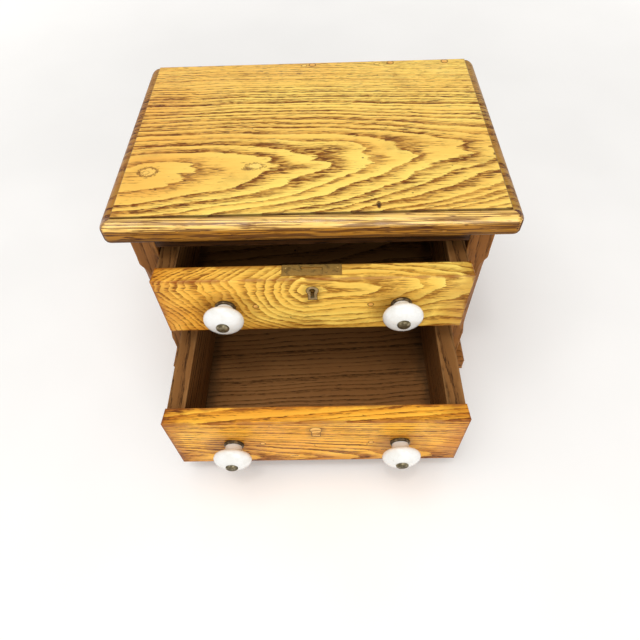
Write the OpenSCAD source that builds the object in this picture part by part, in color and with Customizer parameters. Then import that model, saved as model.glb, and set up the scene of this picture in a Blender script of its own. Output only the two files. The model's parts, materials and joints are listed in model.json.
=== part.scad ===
// Two-drawer spool cabinet: a board carcass under a moulded top, two dovetailed drawers with
// porcelain knobs, and a lock in the upper drawer.
// The origin is the centre of the base board's underside, the front faces -Y and +Z is up.

/* [Carcass] */
// Width over the two side boards
carcass_w = 286; // [240:1:400]
// Depth from the front edges to the outer face of the back panel
carcass_d = 209; // [180:1:320]
// Thickness of the side boards
side_t = 19; // [16:0.5:24]
// Height of the two cross rails
rail_h = 17.5; // [14:0.5:24]
// Depth of the cross rails from front to back
rail_d = 38; // [30:1:50]
// Length of the stub tenons on the rails
tenon_len = 6; // [4:0.5:9]
// Thickness of the stub tenons
tenon_t = 8; // [6:0.5:10]
// Shoulder left in front of each tenon and behind it
tenon_shoulder = 6; // [4:0.5:9]
// Thickness of the back panel
back_t = 7; // [5:0.5:9]
// Width of the rabbet that takes the back panel in each side board
back_rabbet = 8; // [6:0.5:10]
// Width of the drawer runners and of the kickers above the upper drawer
runner_w = 14; // [11:0.5:20]

/* [Corner chamfers] */
// Width of the stopped chamfer on each front corner
chamfer_w = 5; // [3:0.5:8]
// Plain length of the corner above and below its chamfer
chamfer_stop = 35; // [20:1:50]
// Length of the curved run-out at each end of a chamfer
chamfer_run = 12; // [6:1:16]

/* [Top board] */
// Thickness of the top board
top_t = 19; // [16:0.5:26]
// Overhang of the top beyond each side board
top_side_overhang = 14; // [10:0.5:24]
// Overhang of the top beyond the front edges of the carcass
top_front_overhang = 13; // [10:0.5:24]
// Width of the moulding from the edge to the raised field
mould_w = 9; // [6:0.5:12]
// Height of the small step between the field and the moulding
mould_step = 1.6; // [0.8:0.1:2.4]
// Fall of the moulding's curve
mould_drop = 6.5; // [4:0.5:8]
// Rounding of the lower arris
top_low_r = 2.5; // [1:0.5:4]
// Rounding of the two front corners, seen from above
top_front_r = 3; // [1:0.5:6]
// Rounding of the two back corners, seen from above
top_back_r = 8; // [4:0.5:14]

/* [Base board] */
// Thickness of the base board
base_t = 19; // [15:0.5:24]
// Overhang of the base beyond the front and the sides of the carcass
base_overhang = 8; // [4:0.5:14]
// Rounding of the base's upper arris
base_top_r = 5; // [2:0.5:8]
// Rounding of the base's lower arris
base_low_r = 1.5; // [0.5:0.5:3]

/* [Drawers] */
// Height of the upper drawer front
upper_front_h = 64; // [56:1:90]
// Height of the lower drawer front
lower_front_h = 78; // [56:1:110]
// Thickness of the drawer fronts
front_t = 15; // [14:0.5:20]
// Back bevel planed on each end of a drawer front
front_taper = 1.2; // [0.6:0.1:2]
// Rounding of the arrises of a drawer front's face
front_r = 1.5; // [0.5:0.1:3]
// Thickness of the drawer sides
drawer_side_t = 15; // [11:0.5:16]
// Thickness of the drawer backs
drawer_back_t = 12; // [10:0.5:16]
// Thickness of the drawer bottoms
bottom_t = 5; // [4:0.5:7]
// Depth of the groove that holds a drawer bottom
groove_d = 5; // [3:0.5:6]
// Height of the drawer bottom above the lower edges of the drawer sides
bottom_recess = 5; // [4.5:0.5:8]
// Height that a front stands above the sides of its drawer
side_drop = 4; // [2:0.5:10]
// Height that the sides of a drawer stand above its back
back_drop = 3; // [1:0.5:10]
// Depth of the rabbet in a drawer side that takes the drawer's back
drawer_rabbet = 4; // [2:0.5:6]
// Space behind a closed drawer
rear_space = 15; // [6:1:30]
// Distance that the upper drawer stands open at rest
upper_pull = 36; // [0:1:150]
// Distance that the lower drawer stands open at rest
lower_pull = 114; // [0:1:150]

/* [Dovetails] */
// Number of tails on each side of the upper drawer
upper_tails = 2; // [1:1:3]
// Number of tails on each side of the lower drawer
lower_tails = 3; // [1:1:4]
// Length of the tails
tail_len = 10; // [7:0.5:11]
// Run of a tail for each unit that its flank spreads
tail_slope = 6; // [5:1:8]
// Width of the pin between two tails at its narrow end
pin_w = 5; // [3:0.5:8]

/* [Drawer stops] */
// Distance between the two stop blocks of a drawer
stop_spacing = 120; // [80:1:180]
// Width of a stop block
stop_w = 24; // [14:1:36]
// Depth of a stop block
stop_d = 12; // [8:1:16]
// Height of a stop block
stop_h = 3.5; // [2:0.5:4]

/* [Knobs] */
// Distance between the two knobs of a drawer
knob_spacing = 141; // [100:1:190]
// Diameter of the porcelain knobs
knob_d = 32; // [24:0.5:40]
// Height of the porcelain from its foot to the seat of the bolt's head
knob_h = 18; // [15:0.5:24]
// Diameter of the porcelain at its foot
knob_neck_d = 14; // [12:0.5:18]
// Height of the flare under the knob's rim
knob_flare_h = 7.5; // [5:0.5:9]
// Radius of the knob's rim
knob_rim_r = 3; // [2:0.5:4]
// Diameter of the metal collar under a knob
collar_d = 17; // [15:0.5:24]
// Height of the collar
collar_h = 2.5; // [1.5:0.5:4]
// Diameter of the knob bolt
bolt_d = 4; // [3:0.5:5]
// Diameter of the bolt's domed head
bolt_head_d = 10.4; // [8:0.2:13]
// Height of the bolt's domed head
bolt_head_h = 2.4; // [1.5:0.1:4]
// Height of the straight rim under the dome
bolt_rim_h = 0.6; // [0.3:0.1:1]
// Length of bolt that stands through its nut
bolt_end = 2; // [1:0.5:5]
// Diameter of the washers inside the drawer
washer_d = 12; // [9:0.5:16]
// Thickness of the washers
washer_t = 1.2; // [0.8:0.1:2]
// Width over the flats of the square nuts
nut_w = 8; // [7:0.5:11]
// Thickness of the nuts
nut_t = 3.2; // [2.5:0.1:5]

/* [Keyholes] */
// Distance from the top of a drawer front to its keyhole insert
key_drop = 9; // [7:0.5:10]
// Diameter of the insert's round head
key_head_d = 9.2; // [8:0.2:11]
// Width of the insert's stem
key_stem_w = 6.6; // [5:0.2:7.4]
// Height of the whole insert
key_insert_h = 15.4; // [13:0.2:18]
// Depth of the insert in the wood
key_insert_t = 5; // [3:0.5:5.5]
// Diameter of the round part of the keyhole
key_hole_d = 5; // [4:0.2:6]
// Width of the keyhole's slot
key_slot_w = 3.1; // [2:0.1:3.4]
// Height of the whole keyhole
key_hole_h = 11.5; // [9:0.5:12]

/* [Lock] */
// Width of the lock's plate
lock_w = 46; // [42:1:60]
// Height of the lock's plate
lock_h = 31; // [28:1:36]
// Thickness of the lock's plate
lock_t = 1; // [0.8:0.1:1.5]
// Depth of the plate's edge that lies in the top of the drawer front
lock_edge_d = 11; // [10:0.5:12]
// Width of the lock's case
case_w = 34; // [28:1:38]
// Height of the lock's case
case_h = 24; // [22:0.5:26]
// Depth of the lock's case
case_d = 8; // [7:0.5:8.5]
// Radius of the room in which the key turns
key_turn_r = 6.5; // [5:0.5:8]
// Wall left behind the room for the key
case_wall = 1.2; // [0.8:0.1:2]
// Width of the lock's bolt
lock_bolt_w = 16; // [10:1:20]
// Thickness of the lock's bolt
lock_bolt_t = 4; // [3:0.5:4.5]
// Length of the lock's bolt
lock_bolt_h = 10.5; // [9:0.5:11]
// Travel of the lock's bolt
lock_throw = 6; // [4:0.5:8]
// Diameter of the post that a pipe key fits over
key_post_d = 2.2; // [1.6:0.1:2.6]
// Length of the screws that hold the lock
lock_screw_len = 8; // [6:0.5:10]
// Diameter of the screws that hold the lock
lock_screw_d = 2.4; // [2:0.1:3]
// Distance from a lock screw to the edge of the plate
lock_screw_inset = 3; // [2.5:0.5:4]

/* [Nails, screws and plugs] */
// Width of a cut nail's shank
nail_w = 1.8; // [1.2:0.1:2.4]
// Width of a cut nail's head
nail_head_w = 3.2; // [2.4:0.1:4]
// Thickness of a cut nail's head
nail_head_t = 0.8; // [0.5:0.1:1.2]
// Depth that a nail is driven into the second board
nail_hold = 12; // [8:0.5:14]
// Number of nails along each edge of the back panel
back_nails_n = 4; // [2:1:6]
// Number of nails through each runner and kicker
runner_nails_n = 3; // [2:1:4]
// Number of nails along the back edge of a drawer bottom
bottom_nails_n = 3; // [2:1:5]
// Diameter of the wood screws
screw_d = 4; // [3:0.5:5]
// Depth that a screw is driven into the second board
screw_hold = 12; // [8:0.5:14]
// Depth of the screw heads below the surface
screw_sink = 1; // [0.5:0.5:3]
// Distance from the screws to the front and back of the boards that they go through
screw_inset = 40; // [30:1:60]
// Diameter of the plugs in the top
top_plug_d = 5; // [3:0.5:8]
// Distance from the back edge of the top to its plugs
top_plug_inset = 4; // [3:0.5:6]
// Diameter of the plugs in the drawer fronts
front_plug_d = 3.6; // [2:0.2:6]
// Distance between the two plugs of a drawer front
front_plug_spacing = 92; // [40:1:100]
// Depth of the plugs
plug_depth = 4; // [2:0.5:6]

/* [Fits] */
// Gap round a drawer front in its opening
front_gap = 0.75; // [0.5:0.05:1.5]
// Gap under the sides of a drawer
slide_gap = 0.3; // [0.2:0.05:0.5]
// Gap between a closed drawer front and its stop blocks
stop_gap = 0.2; // [0.1:0.05:0.5]
// Room at the edges of a drawer bottom in its grooves
panel_gap = 0.3; // [0.1:0.05:0.8]
// Room left for glue at the end of a tenon
glue_gap = 0.5; // [0.2:0.1:1]
// Gap round bolts, screws, posts, plugs and keyhole inserts
hole_gap = 0.1; // [0.05:0.05:0.2]
// Gap round the lock's bolt
bolt_gap = 0.3; // [0.2:0.05:0.5]

/* [Hidden] */
$fn = 48;

LOWER = 0;
UPPER = 1;
LEFT = -1;
RIGHT = 1;
// How far a cutter stands clear of the surface that it cuts
over = 1;
arc_steps = 6;
curve_steps = 10;

front_h = [lower_front_h, upper_front_h];
tails_n = [lower_tails, upper_tails];
pull = [lower_pull, upper_pull];

open_w = carcass_w - 2 * side_t;
middle_z = base_t + lower_front_h + 2 * front_gap;
upper_z = middle_z + rail_h;
top_rail_z = upper_z + upper_front_h + 2 * front_gap;
top_z = top_rail_z + rail_h;
floor_z = [base_t, upper_z];

base_w = carcass_w + 2 * base_overhang;
base_d = carcass_d + base_overhang;
back_y = base_d / 2;
front_y = back_y - carcass_d;
inner_back_y = back_y - back_t;
rail_back_y = front_y + rail_d;
top_w = carcass_w + 2 * top_side_overhang;
top_d = carcass_d + top_front_overhang;
top_front_y = front_y - top_front_overhang;
// Plugs in the top, from its middle line, over the nails that hold it to the back panel
top_plug_x = [1, 76, 128];

front_w = open_w - 2 * front_gap;
box_w = front_w - 2 * front_taper;
drawer_len = carcass_d - back_t - rear_space;
inside_w = box_w - 2 * drawer_side_t;
bottom_z = slide_gap + bottom_recess;
bottom_top_z = bottom_z + bottom_t;

knob_seat = collar_h + knob_h;
bolt_hole_d = bolt_d + 2 * hole_gap;
screw_head_d = 2 * screw_d;
screw_head_h = screw_d / 2;
lock_screw_head_d = 2 * lock_screw_d;
lock_screw_head_h = lock_t;
lock_case_y = front_t - lock_t - case_d;
lock_bolt_y = lock_case_y + (case_d - lock_bolt_t) / 2;

oak = "#c8893a";
carcass_oak = "#8a5a33";
drawer_oak = "#7d5a34";
porcelain = "#f4f3ef";
bronze = "#5a4630";
iron = "#4b4742";
brass = "#b79a62";
plug_wood = "#b5713c";

function front_top(i) = front_gap + front_h[i];
function side_h(i) = front_top(i) - slide_gap - side_drop;
function key_z(i) = front_top(i) - key_drop - key_head_d / 2;
function arc(x, y, r, from, to) =
    [for (k = [0 : arc_steps]) let (a = from + (to - from) * k / arc_steps) [x + r * cos(a), y + r * sin(a)]];
function mirrored(points) = [for (k = [len(points) - 1 : -1 : 0]) [-points[k][0], points[k][1]]];
function shifted(points, x) = [for (p = points) [p[0] + x, p[1]]];
// Even places along a length, none of them at its ends
function spread(from, to, n, k) = from + (to - from) * (k + 0.5) / n;

// Draws its child for one hand: as it is on the right, mirrored on the left
module hand(side) {
    mirror([side == LEFT ? 1 : 0, 0, 0]) children();
}

module box(low, high) {
    translate(low) cube(high - low);
}

// Extrudes a section in Y and Z along X
module along_x(length) {
    rotate([90, 0, 90]) linear_extrude(length) children();
}

// Extrudes an outline in X and Z along Y
module along_y(from, to) {
    translate([0, to, 0]) rotate([90, 0, 0]) linear_extrude(to - from) children();
}

// Cut nail with its head at the origin, pointing to +Z
module nail(length) {
    translate([-nail_w / 2, -nail_w / 2, 0]) cube([nail_w, nail_w, length]);
    translate([-nail_head_w / 2, -nail_head_w / 2, 0]) cube([nail_head_w, nail_head_w, nail_head_t]);
}

// Outline of a countersunk screw, turned into its body or, with a gap, into its hole
module screw_body(d, head_d, head_h, length, gap) {
    r = d / 2 + gap;
    head_r = head_d / 2 + gap;
    rotate_extrude()
        polygon([[0, 0], [head_r, 0], [r, head_h], [r, length - d / 2], [0, length + gap]]);
}

module screw(d, head_d, head_h, length) {
    slot_w = d / 4;
    difference() {
        screw_body(d, head_d, head_h, length, 0);
        translate([-slot_w / 2, -head_d, -over]) cube([slot_w, 2 * head_d, over + head_h / 2]);
    }
}

// Hole for a screw whose head lies below the surface
module screw_hole(d, head_d, head_h, length, sink) {
    translate([0, 0, sink]) screw_body(d, head_d, head_h, length, hole_gap);
    translate([0, 0, -over]) cylinder(h = over + sink, d = head_d + 2 * hole_gap);
}

// Places of the fastenings, each used by the fastening and by the boards that it goes through

module at_back_nails() {
    x = open_w / 2 + back_rabbet / 2;
    for (side = [LEFT, RIGHT], k = [0 : back_nails_n - 1])
        translate([side * x, back_y, spread(base_t, top_z, back_nails_n, k)]) rotate([90, 0, 0]) children();
}

module at_runner_nails() {
    x = open_w / 2 - runner_w;
    for (side = [LEFT, RIGHT], z = [middle_z, top_rail_z], k = [0 : runner_nails_n - 1])
        translate([side * x, spread(rail_back_y, inner_back_y, runner_nails_n, k), z + rail_h / 2])
            rotate([0, side * 90, 0]) children();
}

module at_base_screws() {
    for (side = [LEFT, RIGHT], y = [front_y + screw_inset, back_y - screw_inset])
        translate([side * (carcass_w - side_t) / 2, y, 0]) children();
}

module at_top_screws() {
    for (side = [LEFT, RIGHT], y = [rail_back_y + screw_inset, inner_back_y - screw_inset])
        translate([side * (open_w - runner_w) / 2, y, top_rail_z]) children();
}

module at_top_plugs() {
    for (x = top_plug_x) translate([x, back_y - top_plug_inset, top_z + top_t - plug_depth]) children();
}

module at_drawer(i) {
    translate([0, front_y - pull[i], floor_z[i]]) children();
}

module at_knobs(i) {
    for (side = [LEFT, RIGHT]) at_knob(i, side) children();
}

// The knob's axis points out of the front
module at_knob(i, side) {
    translate([side * knob_spacing / 2, 0, front_gap + front_h[i] / 2]) rotate([90, 0, 0]) children();
}

module at_front_plugs(i) {
    for (side = [LEFT, RIGHT])
        translate([side * front_plug_spacing / 2, 0, front_gap + front_h[i] / 2]) rotate([-90, 0, 0]) children();
}

module at_bottom_nails() {
    for (k = [0 : bottom_nails_n - 1])
        translate([spread(-inside_w / 2, inside_w / 2, bottom_nails_n, k), drawer_len - drawer_back_t / 2, bottom_z])
            children();
}

module at_corner_nails(i) {
    for (side = [LEFT, RIGHT], k = [0, 1])
        translate([side * box_w / 2, drawer_len - drawer_back_t / 2,
                   spread(bottom_top_z, slide_gap + side_h(i) - back_drop, 2, k)])
            rotate([0, -side * 90, 0]) children();
}

// Two screws in the edge of the lock's plate point down, two in its face point to the drawer front
module at_lock_screws() {
    x = (lock_w + case_w) / 4;
    for (side = [LEFT, RIGHT]) {
        translate([side * x, front_t - lock_edge_d / 2, front_top(UPPER)]) rotate([180, 0, 0]) children();
        translate([side * (lock_w / 2 - lock_screw_inset), front_t, front_top(UPPER) - lock_h + lock_screw_inset])
            rotate([90, 0, 0]) children();
    }
}

// Carcass

// Moulded edge of the top, from its underside up to the raised field
function top_edge() = let (curve_z = top_t - mould_step - mould_drop) concat(
    arc(top_low_r, top_low_r, top_low_r, 270, 180),
    [for (k = [0 : curve_steps]) let (a = 90 * k / curve_steps)
        [mould_w * (1 - cos(a)), curve_z + mould_drop * sin(a)]],
    [[mould_w, top_t]]);

module top_board() {
    side_edge = shifted(top_edge(), -top_w / 2);
    front_edge = shifted(top_edge(), top_front_y);
    color(oak)
    difference() {
        translate([0, 0, top_z])
        intersection() {
            along_y(top_front_y, back_y) polygon(concat(side_edge, mirrored(side_edge)));
            translate([-top_w / 2, 0, 0])
                along_x(top_w) polygon(concat(front_edge, [[back_y, top_t], [back_y, 0]]));
            linear_extrude(top_t) top_outline();
        }
        at_top_plugs() cylinder(h = plug_depth + over, d = top_plug_d + 2 * hole_gap);
        at_top_screws() top_screw_hole();
    }
}

// Outline of the top from above, with its four corners rounded
module top_outline() {
    x = top_w / 2;
    polygon(concat(
        arc(x - top_back_r, back_y - top_back_r, top_back_r, 0, 90),
        arc(-x + top_back_r, back_y - top_back_r, top_back_r, 90, 180),
        arc(-x + top_front_r, top_front_y + top_front_r, top_front_r, 180, 270),
        arc(x - top_front_r, top_front_y + top_front_r, top_front_r, 270, 360)));
}

function base_edge() = concat(
    arc(base_low_r, base_low_r, base_low_r, 270, 180),
    arc(base_top_r, base_t - base_top_r, base_top_r, 180, 90));

module base_board() {
    side_edge = shifted(base_edge(), -base_w / 2);
    front_edge = shifted(base_edge(), -base_d / 2);
    color(carcass_oak)
    difference() {
        intersection() {
            along_y(-base_d / 2, back_y) polygon(concat(side_edge, mirrored(side_edge)));
            translate([-base_w / 2, 0, 0])
                along_x(base_w) polygon(concat(front_edge, [[back_y, base_t], [back_y, 0]]));
        }
        at_base_screws() base_screw_hole();
    }
}

module side_board(side) {
    color(carcass_oak)
    difference() {
        hand(side) box([open_w / 2, front_y, base_t], [carcass_w / 2, back_y, top_z]);
        hand(side) box([open_w / 2 - over, inner_back_y, base_t - over],
                       [open_w / 2 + back_rabbet, back_y + over, top_z + over]);
        hand(side) corner_chamfer();
        for (z = [middle_z, top_rail_z]) hand(side) tenon(z, glue_gap);
        at_base_screws() base_screw_hole();
        at_back_nails() nail(back_t + nail_hold);
        at_runner_nails() nail(runner_w + nail_hold);
    }
}

module left_side() { side_board(LEFT); }
module right_side() { side_board(RIGHT); }

// Cutter for the right front corner: its depth swells and dies away in a curve at both ends
module corner_chamfer() {
    depth = chamfer_w / sqrt(2);
    low = base_t + chamfer_stop;
    high = top_z - chamfer_stop;
    run = [for (k = [0 : curve_steps]) let (s = k / curve_steps) [depth * (1 - cos(180 * s)) / 2, s * chamfer_run]];
    start = [for (p = run) [p[0], low + p[1]]];
    finish = [for (k = [curve_steps : -1 : 0]) [run[k][0], high - run[k][1]]];
    translate([carcass_w / 2, front_y, 0]) rotate([0, 0, 135]) rotate([90, 0, 0])
        linear_extrude(4 * chamfer_w, center = true)
            polygon(concat([[-chamfer_w, low]], start, finish, [[-chamfer_w, high]]));
}

// Stub tenon at the right end of a rail
module tenon(rail_z, gap) {
    translate([0, 0, rail_z + (rail_h - tenon_t) / 2])
        box([open_w / 2 - over, front_y + tenon_shoulder, 0],
            [open_w / 2 + tenon_len + gap, rail_back_y - tenon_shoulder, tenon_t]);
}

module rail(z) {
    box([-open_w / 2, front_y, z], [open_w / 2, rail_back_y, z + rail_h]);
    for (side = [LEFT, RIGHT]) hand(side) tenon(z, 0);
}

module middle_rail() {
    color(carcass_oak) rail(middle_z);
}

// The mortise in its underside takes the lock's bolt when the drawer is shut
module top_rail() {
    color(carcass_oak)
    difference() {
        rail(top_rail_z);
        translate([0, front_y, top_rail_z])
            box([-lock_bolt_w / 2 - bolt_gap, lock_bolt_y - bolt_gap, -over],
                [lock_bolt_w / 2 + bolt_gap, lock_bolt_y + lock_bolt_t + bolt_gap, lock_throw + bolt_gap]);
    }
}

module runner(side, z) {
    color(drawer_oak)
    difference() {
        hand(side) box([open_w / 2 - runner_w, rail_back_y, z], [open_w / 2, inner_back_y, z + rail_h]);
        at_runner_nails() nail(runner_w + nail_hold);
        at_top_screws() top_screw_hole();
    }
}

module left_runner() { runner(LEFT, middle_z); }
module right_runner() { runner(RIGHT, middle_z); }
module left_kicker() { runner(LEFT, top_rail_z); }
module right_kicker() { runner(RIGHT, top_rail_z); }

module back_panel() {
    x = open_w / 2 + back_rabbet;
    color(drawer_oak)
    difference() {
        box([-x, inner_back_y, base_t], [x, back_y, top_z]);
        at_back_nails() nail(back_t + nail_hold);
    }
}

// Blocks that the lower edge of a closed drawer front meets
module stops(i) {
    color(drawer_oak)
    translate([0, front_y + front_t + stop_gap, floor_z[i]])
        for (side = [LEFT, RIGHT]) translate([side * stop_spacing / 2 - stop_w / 2, 0, 0])
            cube([stop_w, stop_d, stop_h]);
}

module upper_stops() { stops(UPPER); }
module lower_stops() { stops(LOWER); }

module base_screw_hole() {
    screw_hole(screw_d, screw_head_d, screw_head_h, base_t - screw_sink + screw_hold, screw_sink);
}

module base_screws() {
    color(iron) at_base_screws() translate([0, 0, screw_sink])
        screw(screw_d, screw_head_d, screw_head_h, base_t - screw_sink + screw_hold);
}

module top_screw_hole() {
    screw_hole(screw_d, screw_head_d, screw_head_h, rail_h - screw_sink + screw_hold, screw_sink);
}

module top_screws() {
    color(iron) at_top_screws() translate([0, 0, screw_sink])
        screw(screw_d, screw_head_d, screw_head_h, rail_h - screw_sink + screw_hold);
}

module back_nails() {
    color(iron) at_back_nails() nail(back_t + nail_hold);
}

module runner_nails() {
    color(iron) at_runner_nails() nail(runner_w + nail_hold);
}

module top_plugs() {
    color(plug_wood) at_top_plugs() cylinder(h = plug_depth, d = top_plug_d);
}

// Drawers, each drawn with the middle of its opening's front lower edge at the origin

// The tails on the right side of a drawer, as far as x
module tails(i, x) {
    pitch = side_h(i) / tails_n[i];
    tip = (pitch - pin_w) / 2;
    root = tip - tail_len / tail_slope;
    for (k = [0 : tails_n[i] - 1])
        translate([box_w / 2 - drawer_side_t, 0, slide_gap + (k + 0.5) * pitch])
            along_x(x - box_w / 2 + drawer_side_t)
                polygon([[front_t - tail_len, -tip], [front_t, -root], [front_t, root], [front_t - tail_len, tip]]);
}

// Groove for the bottom: as wide as the bottom and its room
module bottom_groove() {
    x = inside_w / 2 + groove_d;
    box([-x, front_t - groove_d, bottom_z], [x, drawer_len + over, bottom_top_z]);
}

// A drawer front before its joints are cut: bevelled ends and eased arrises
module front_blank(h) {
    ends = concat([[box_w / 2, front_t]], arc(front_w / 2 - front_r, front_r, front_r, 0, -90));
    intersection() {
        translate([0, 0, front_gap]) linear_extrude(h) polygon(concat(ends, mirrored(ends)));
        translate([-front_w / 2, 0, front_gap]) along_x(front_w)
            polygon(concat([[front_t, 0]], arc(front_r, front_r, front_r, 270, 180),
                           arc(front_r, h - front_r, front_r, 180, 90), [[front_t, h]]));
    }
}

// Keyhole outline: a round head over a straight stem, with the head's centre at the origin
module keyhole(head_d, stem_w, h) {
    circle(d = head_d);
    translate([-stem_w / 2, head_d / 2 - h]) square([stem_w, h - head_d / 2]);
}

module insert_outline(gap) {
    keyhole(key_head_d + 2 * gap, key_stem_w + 2 * gap, key_insert_h + 2 * gap);
}

module drawer_front(i) {
    color(oak)
    at_drawer(i)
    difference() {
        front_blank(front_h[i]);
        for (side = [LEFT, RIGHT]) hand(side) tails(i, front_w / 2 + over);
        bottom_groove();
        at_knobs(i) translate([0, 0, -front_t - over]) cylinder(h = front_t + 2 * over, d = bolt_hole_d);
        at_front_plugs(i)
            translate([0, 0, -over]) cylinder(h = plug_depth + over, d = front_plug_d + 2 * hole_gap);
        translate([0, 0, key_z(i)]) along_y(-over, key_insert_t) insert_outline(hole_gap);
        if (i == UPPER) lock_pocket();
    }
}

// Room in the upper drawer front for the lock and for the key
module lock_pocket() {
    translate([0, 0, front_top(UPPER)]) {
        box([-case_w / 2 - hole_gap, lock_case_y - hole_gap, -lock_t - case_h - hole_gap],
            [case_w / 2 + hole_gap, front_t - lock_t, -lock_t]);
        box([-lock_w / 2, front_t - lock_t, -lock_h], [lock_w / 2, front_t + over, over]);
        box([-lock_w / 2, front_t - lock_edge_d, -lock_t], [lock_w / 2, front_t + over, over]);
    }
    at_lock_screws() lock_screw_hole();
    translate([0, 0, key_z(UPPER)]) along_y(0, front_t - lock_t) keyhole(key_hole_d, key_slot_w, key_hole_h);
}

module drawer_side(i, side) {
    color(drawer_oak)
    at_drawer(i)
    difference() {
        hand(side) union() {
            box([box_w / 2 - drawer_side_t, front_t, slide_gap], [box_w / 2, drawer_len, slide_gap + side_h(i)]);
            tails(i, box_w / 2);
        }
        bottom_groove();
        back_space(i);
        at_corner_nails(i) nail(drawer_side_t + nail_hold);
    }
}

// Room for a drawer's back in the rabbets of the two sides
module back_space(i) {
    x = inside_w / 2 + drawer_rabbet;
    box([-x, drawer_len - drawer_back_t, bottom_top_z - over], [x, drawer_len + over, slide_gap + side_h(i) + over]);
}

module drawer_back(i) {
    x = inside_w / 2 + drawer_rabbet;
    color(drawer_oak)
    at_drawer(i)
    difference() {
        box([-x, drawer_len - drawer_back_t, bottom_top_z], [x, drawer_len, slide_gap + side_h(i) - back_drop]);
        at_bottom_nails() nail(bottom_t + nail_hold);
        at_corner_nails(i) nail(drawer_side_t + nail_hold);
    }
}

module drawer_bottom(i) {
    x = inside_w / 2 + groove_d - panel_gap;
    color(drawer_oak)
    at_drawer(i)
    difference() {
        box([-x, front_t - groove_d + panel_gap, bottom_z], [x, drawer_len, bottom_top_z]);
        at_bottom_nails() nail(bottom_t + nail_hold);
    }
}

module drawer_nails(i) {
    color(iron)
    at_drawer(i) {
        at_bottom_nails() nail(bottom_t + nail_hold);
        at_corner_nails(i) nail(drawer_side_t + nail_hold);
    }
}

module drawer_front_plugs(i) {
    color(plug_wood) at_drawer(i) at_front_plugs(i) cylinder(h = plug_depth, d = front_plug_d);
}

// Turned profile of a knob: a flared neck, a round rim and a dome that ends at the bolt's seat
module knob(i, side) {
    r = knob_d / 2;
    neck_r = knob_neck_d / 2;
    rim_x = r - knob_rim_r;
    rim_z = knob_flare_h + knob_rim_r;
    seat_a = acos(bolt_head_d / knob_d);
    dome_h = (knob_h - rim_z) / sin(seat_a);
    flare = [for (k = [0 : curve_steps]) let (a = 90 * k / curve_steps)
        [neck_r + (rim_x - neck_r) * (1 - cos(a)), knob_flare_h * sin(a)]];
    rim = arc(rim_x, rim_z, knob_rim_r, -75, 0);
    dome = [for (k = [1 : curve_steps]) let (a = seat_a * k / curve_steps) [r * cos(a), rim_z + dome_h * sin(a)]];
    color(porcelain)
    at_drawer(i) at_knob(i, side) translate([0, 0, collar_h])
    rotate_extrude()
        polygon(concat([[bolt_hole_d / 2, 0]], flare, rim, dome, [[bolt_hole_d / 2, knob_h]]));
}

// Low turned collars with a rounded upper edge
module collars(i) {
    r = collar_d / 2;
    edge = collar_h * 0.6;
    color(bronze)
    at_drawer(i) at_knobs(i)
    rotate_extrude()
        polygon(concat([[bolt_hole_d / 2, 0]], [[r, 0]], arc(r - edge, collar_h - edge, edge, 0, 90),
                       [[bolt_hole_d / 2, collar_h]]));
}

// Bolts with a domed head on the knob, through the knob and the front to the nut inside
module knob_bolts(i) {
    r = bolt_head_d / 2;
    dome_h = bolt_head_h - bolt_rim_h;
    end = -front_t - washer_t - nut_t - bolt_end;
    dome = [for (k = [0 : curve_steps]) let (a = 90 * k / curve_steps)
        [r * cos(a), knob_seat + bolt_rim_h + dome_h * sin(a)]];
    color(bronze)
    at_drawer(i) at_knobs(i)
    rotate_extrude()
        polygon(concat([[0, end], [bolt_d / 2, end], [bolt_d / 2, knob_seat], [r, knob_seat]], dome));
}

module washers(i) {
    color(iron)
    at_drawer(i) at_knobs(i) translate([0, 0, -front_t - washer_t])
    difference() {
        cylinder(h = washer_t, d = washer_d);
        translate([0, 0, -over]) cylinder(h = washer_t + 2 * over, d = bolt_hole_d);
    }
}

module nuts(i) {
    color(iron)
    at_drawer(i) at_knobs(i) translate([0, 0, -front_t - washer_t - nut_t])
    difference() {
        translate([-nut_w / 2, -nut_w / 2, 0]) cube([nut_w, nut_w, nut_t]);
        translate([0, 0, -over]) cylinder(h = nut_t + 2 * over, d = bolt_hole_d);
    }
}

module upper_front() { drawer_front(UPPER); }
module upper_left_side() { drawer_side(UPPER, LEFT); }
module upper_right_side() { drawer_side(UPPER, RIGHT); }
module upper_back() { drawer_back(UPPER); }
module upper_bottom() { drawer_bottom(UPPER); }
module upper_left_knob() { knob(UPPER, LEFT); }
module upper_right_knob() { knob(UPPER, RIGHT); }
module upper_collars() { collars(UPPER); }
module upper_knob_bolts() { knob_bolts(UPPER); }
module upper_washers() { washers(UPPER); }
module upper_nuts() { nuts(UPPER); }
module upper_nails() { drawer_nails(UPPER); }
module upper_front_plugs() { drawer_front_plugs(UPPER); }

module lower_front() { drawer_front(LOWER); }
module lower_left_side() { drawer_side(LOWER, LEFT); }
module lower_right_side() { drawer_side(LOWER, RIGHT); }
module lower_back() { drawer_back(LOWER); }
module lower_bottom() { drawer_bottom(LOWER); }
module lower_left_knob() { knob(LOWER, LEFT); }
module lower_right_knob() { knob(LOWER, RIGHT); }
module lower_collars() { collars(LOWER); }
module lower_knob_bolts() { knob_bolts(LOWER); }
module lower_washers() { washers(LOWER); }
module lower_nuts() { nuts(LOWER); }
module lower_nails() { drawer_nails(LOWER); }
module lower_front_plugs() { drawer_front_plugs(LOWER); }

// The lower drawer's lock is gone and its keyhole is filled with wood
module keyhole_plug() {
    color(plug_wood)
    at_drawer(LOWER) translate([0, 0, key_z(LOWER)]) along_y(0, key_insert_t) insert_outline(0);
}

// Lock of the upper drawer

// Metal lining let into the wood round the keyhole
module keyhole_insert() {
    color(brass)
    at_drawer(UPPER) translate([0, 0, key_z(UPPER)])
    along_y(0, key_insert_t)
    difference() {
        insert_outline(0);
        keyhole(key_hole_d, key_slot_w, key_hole_h);
    }
}

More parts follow.
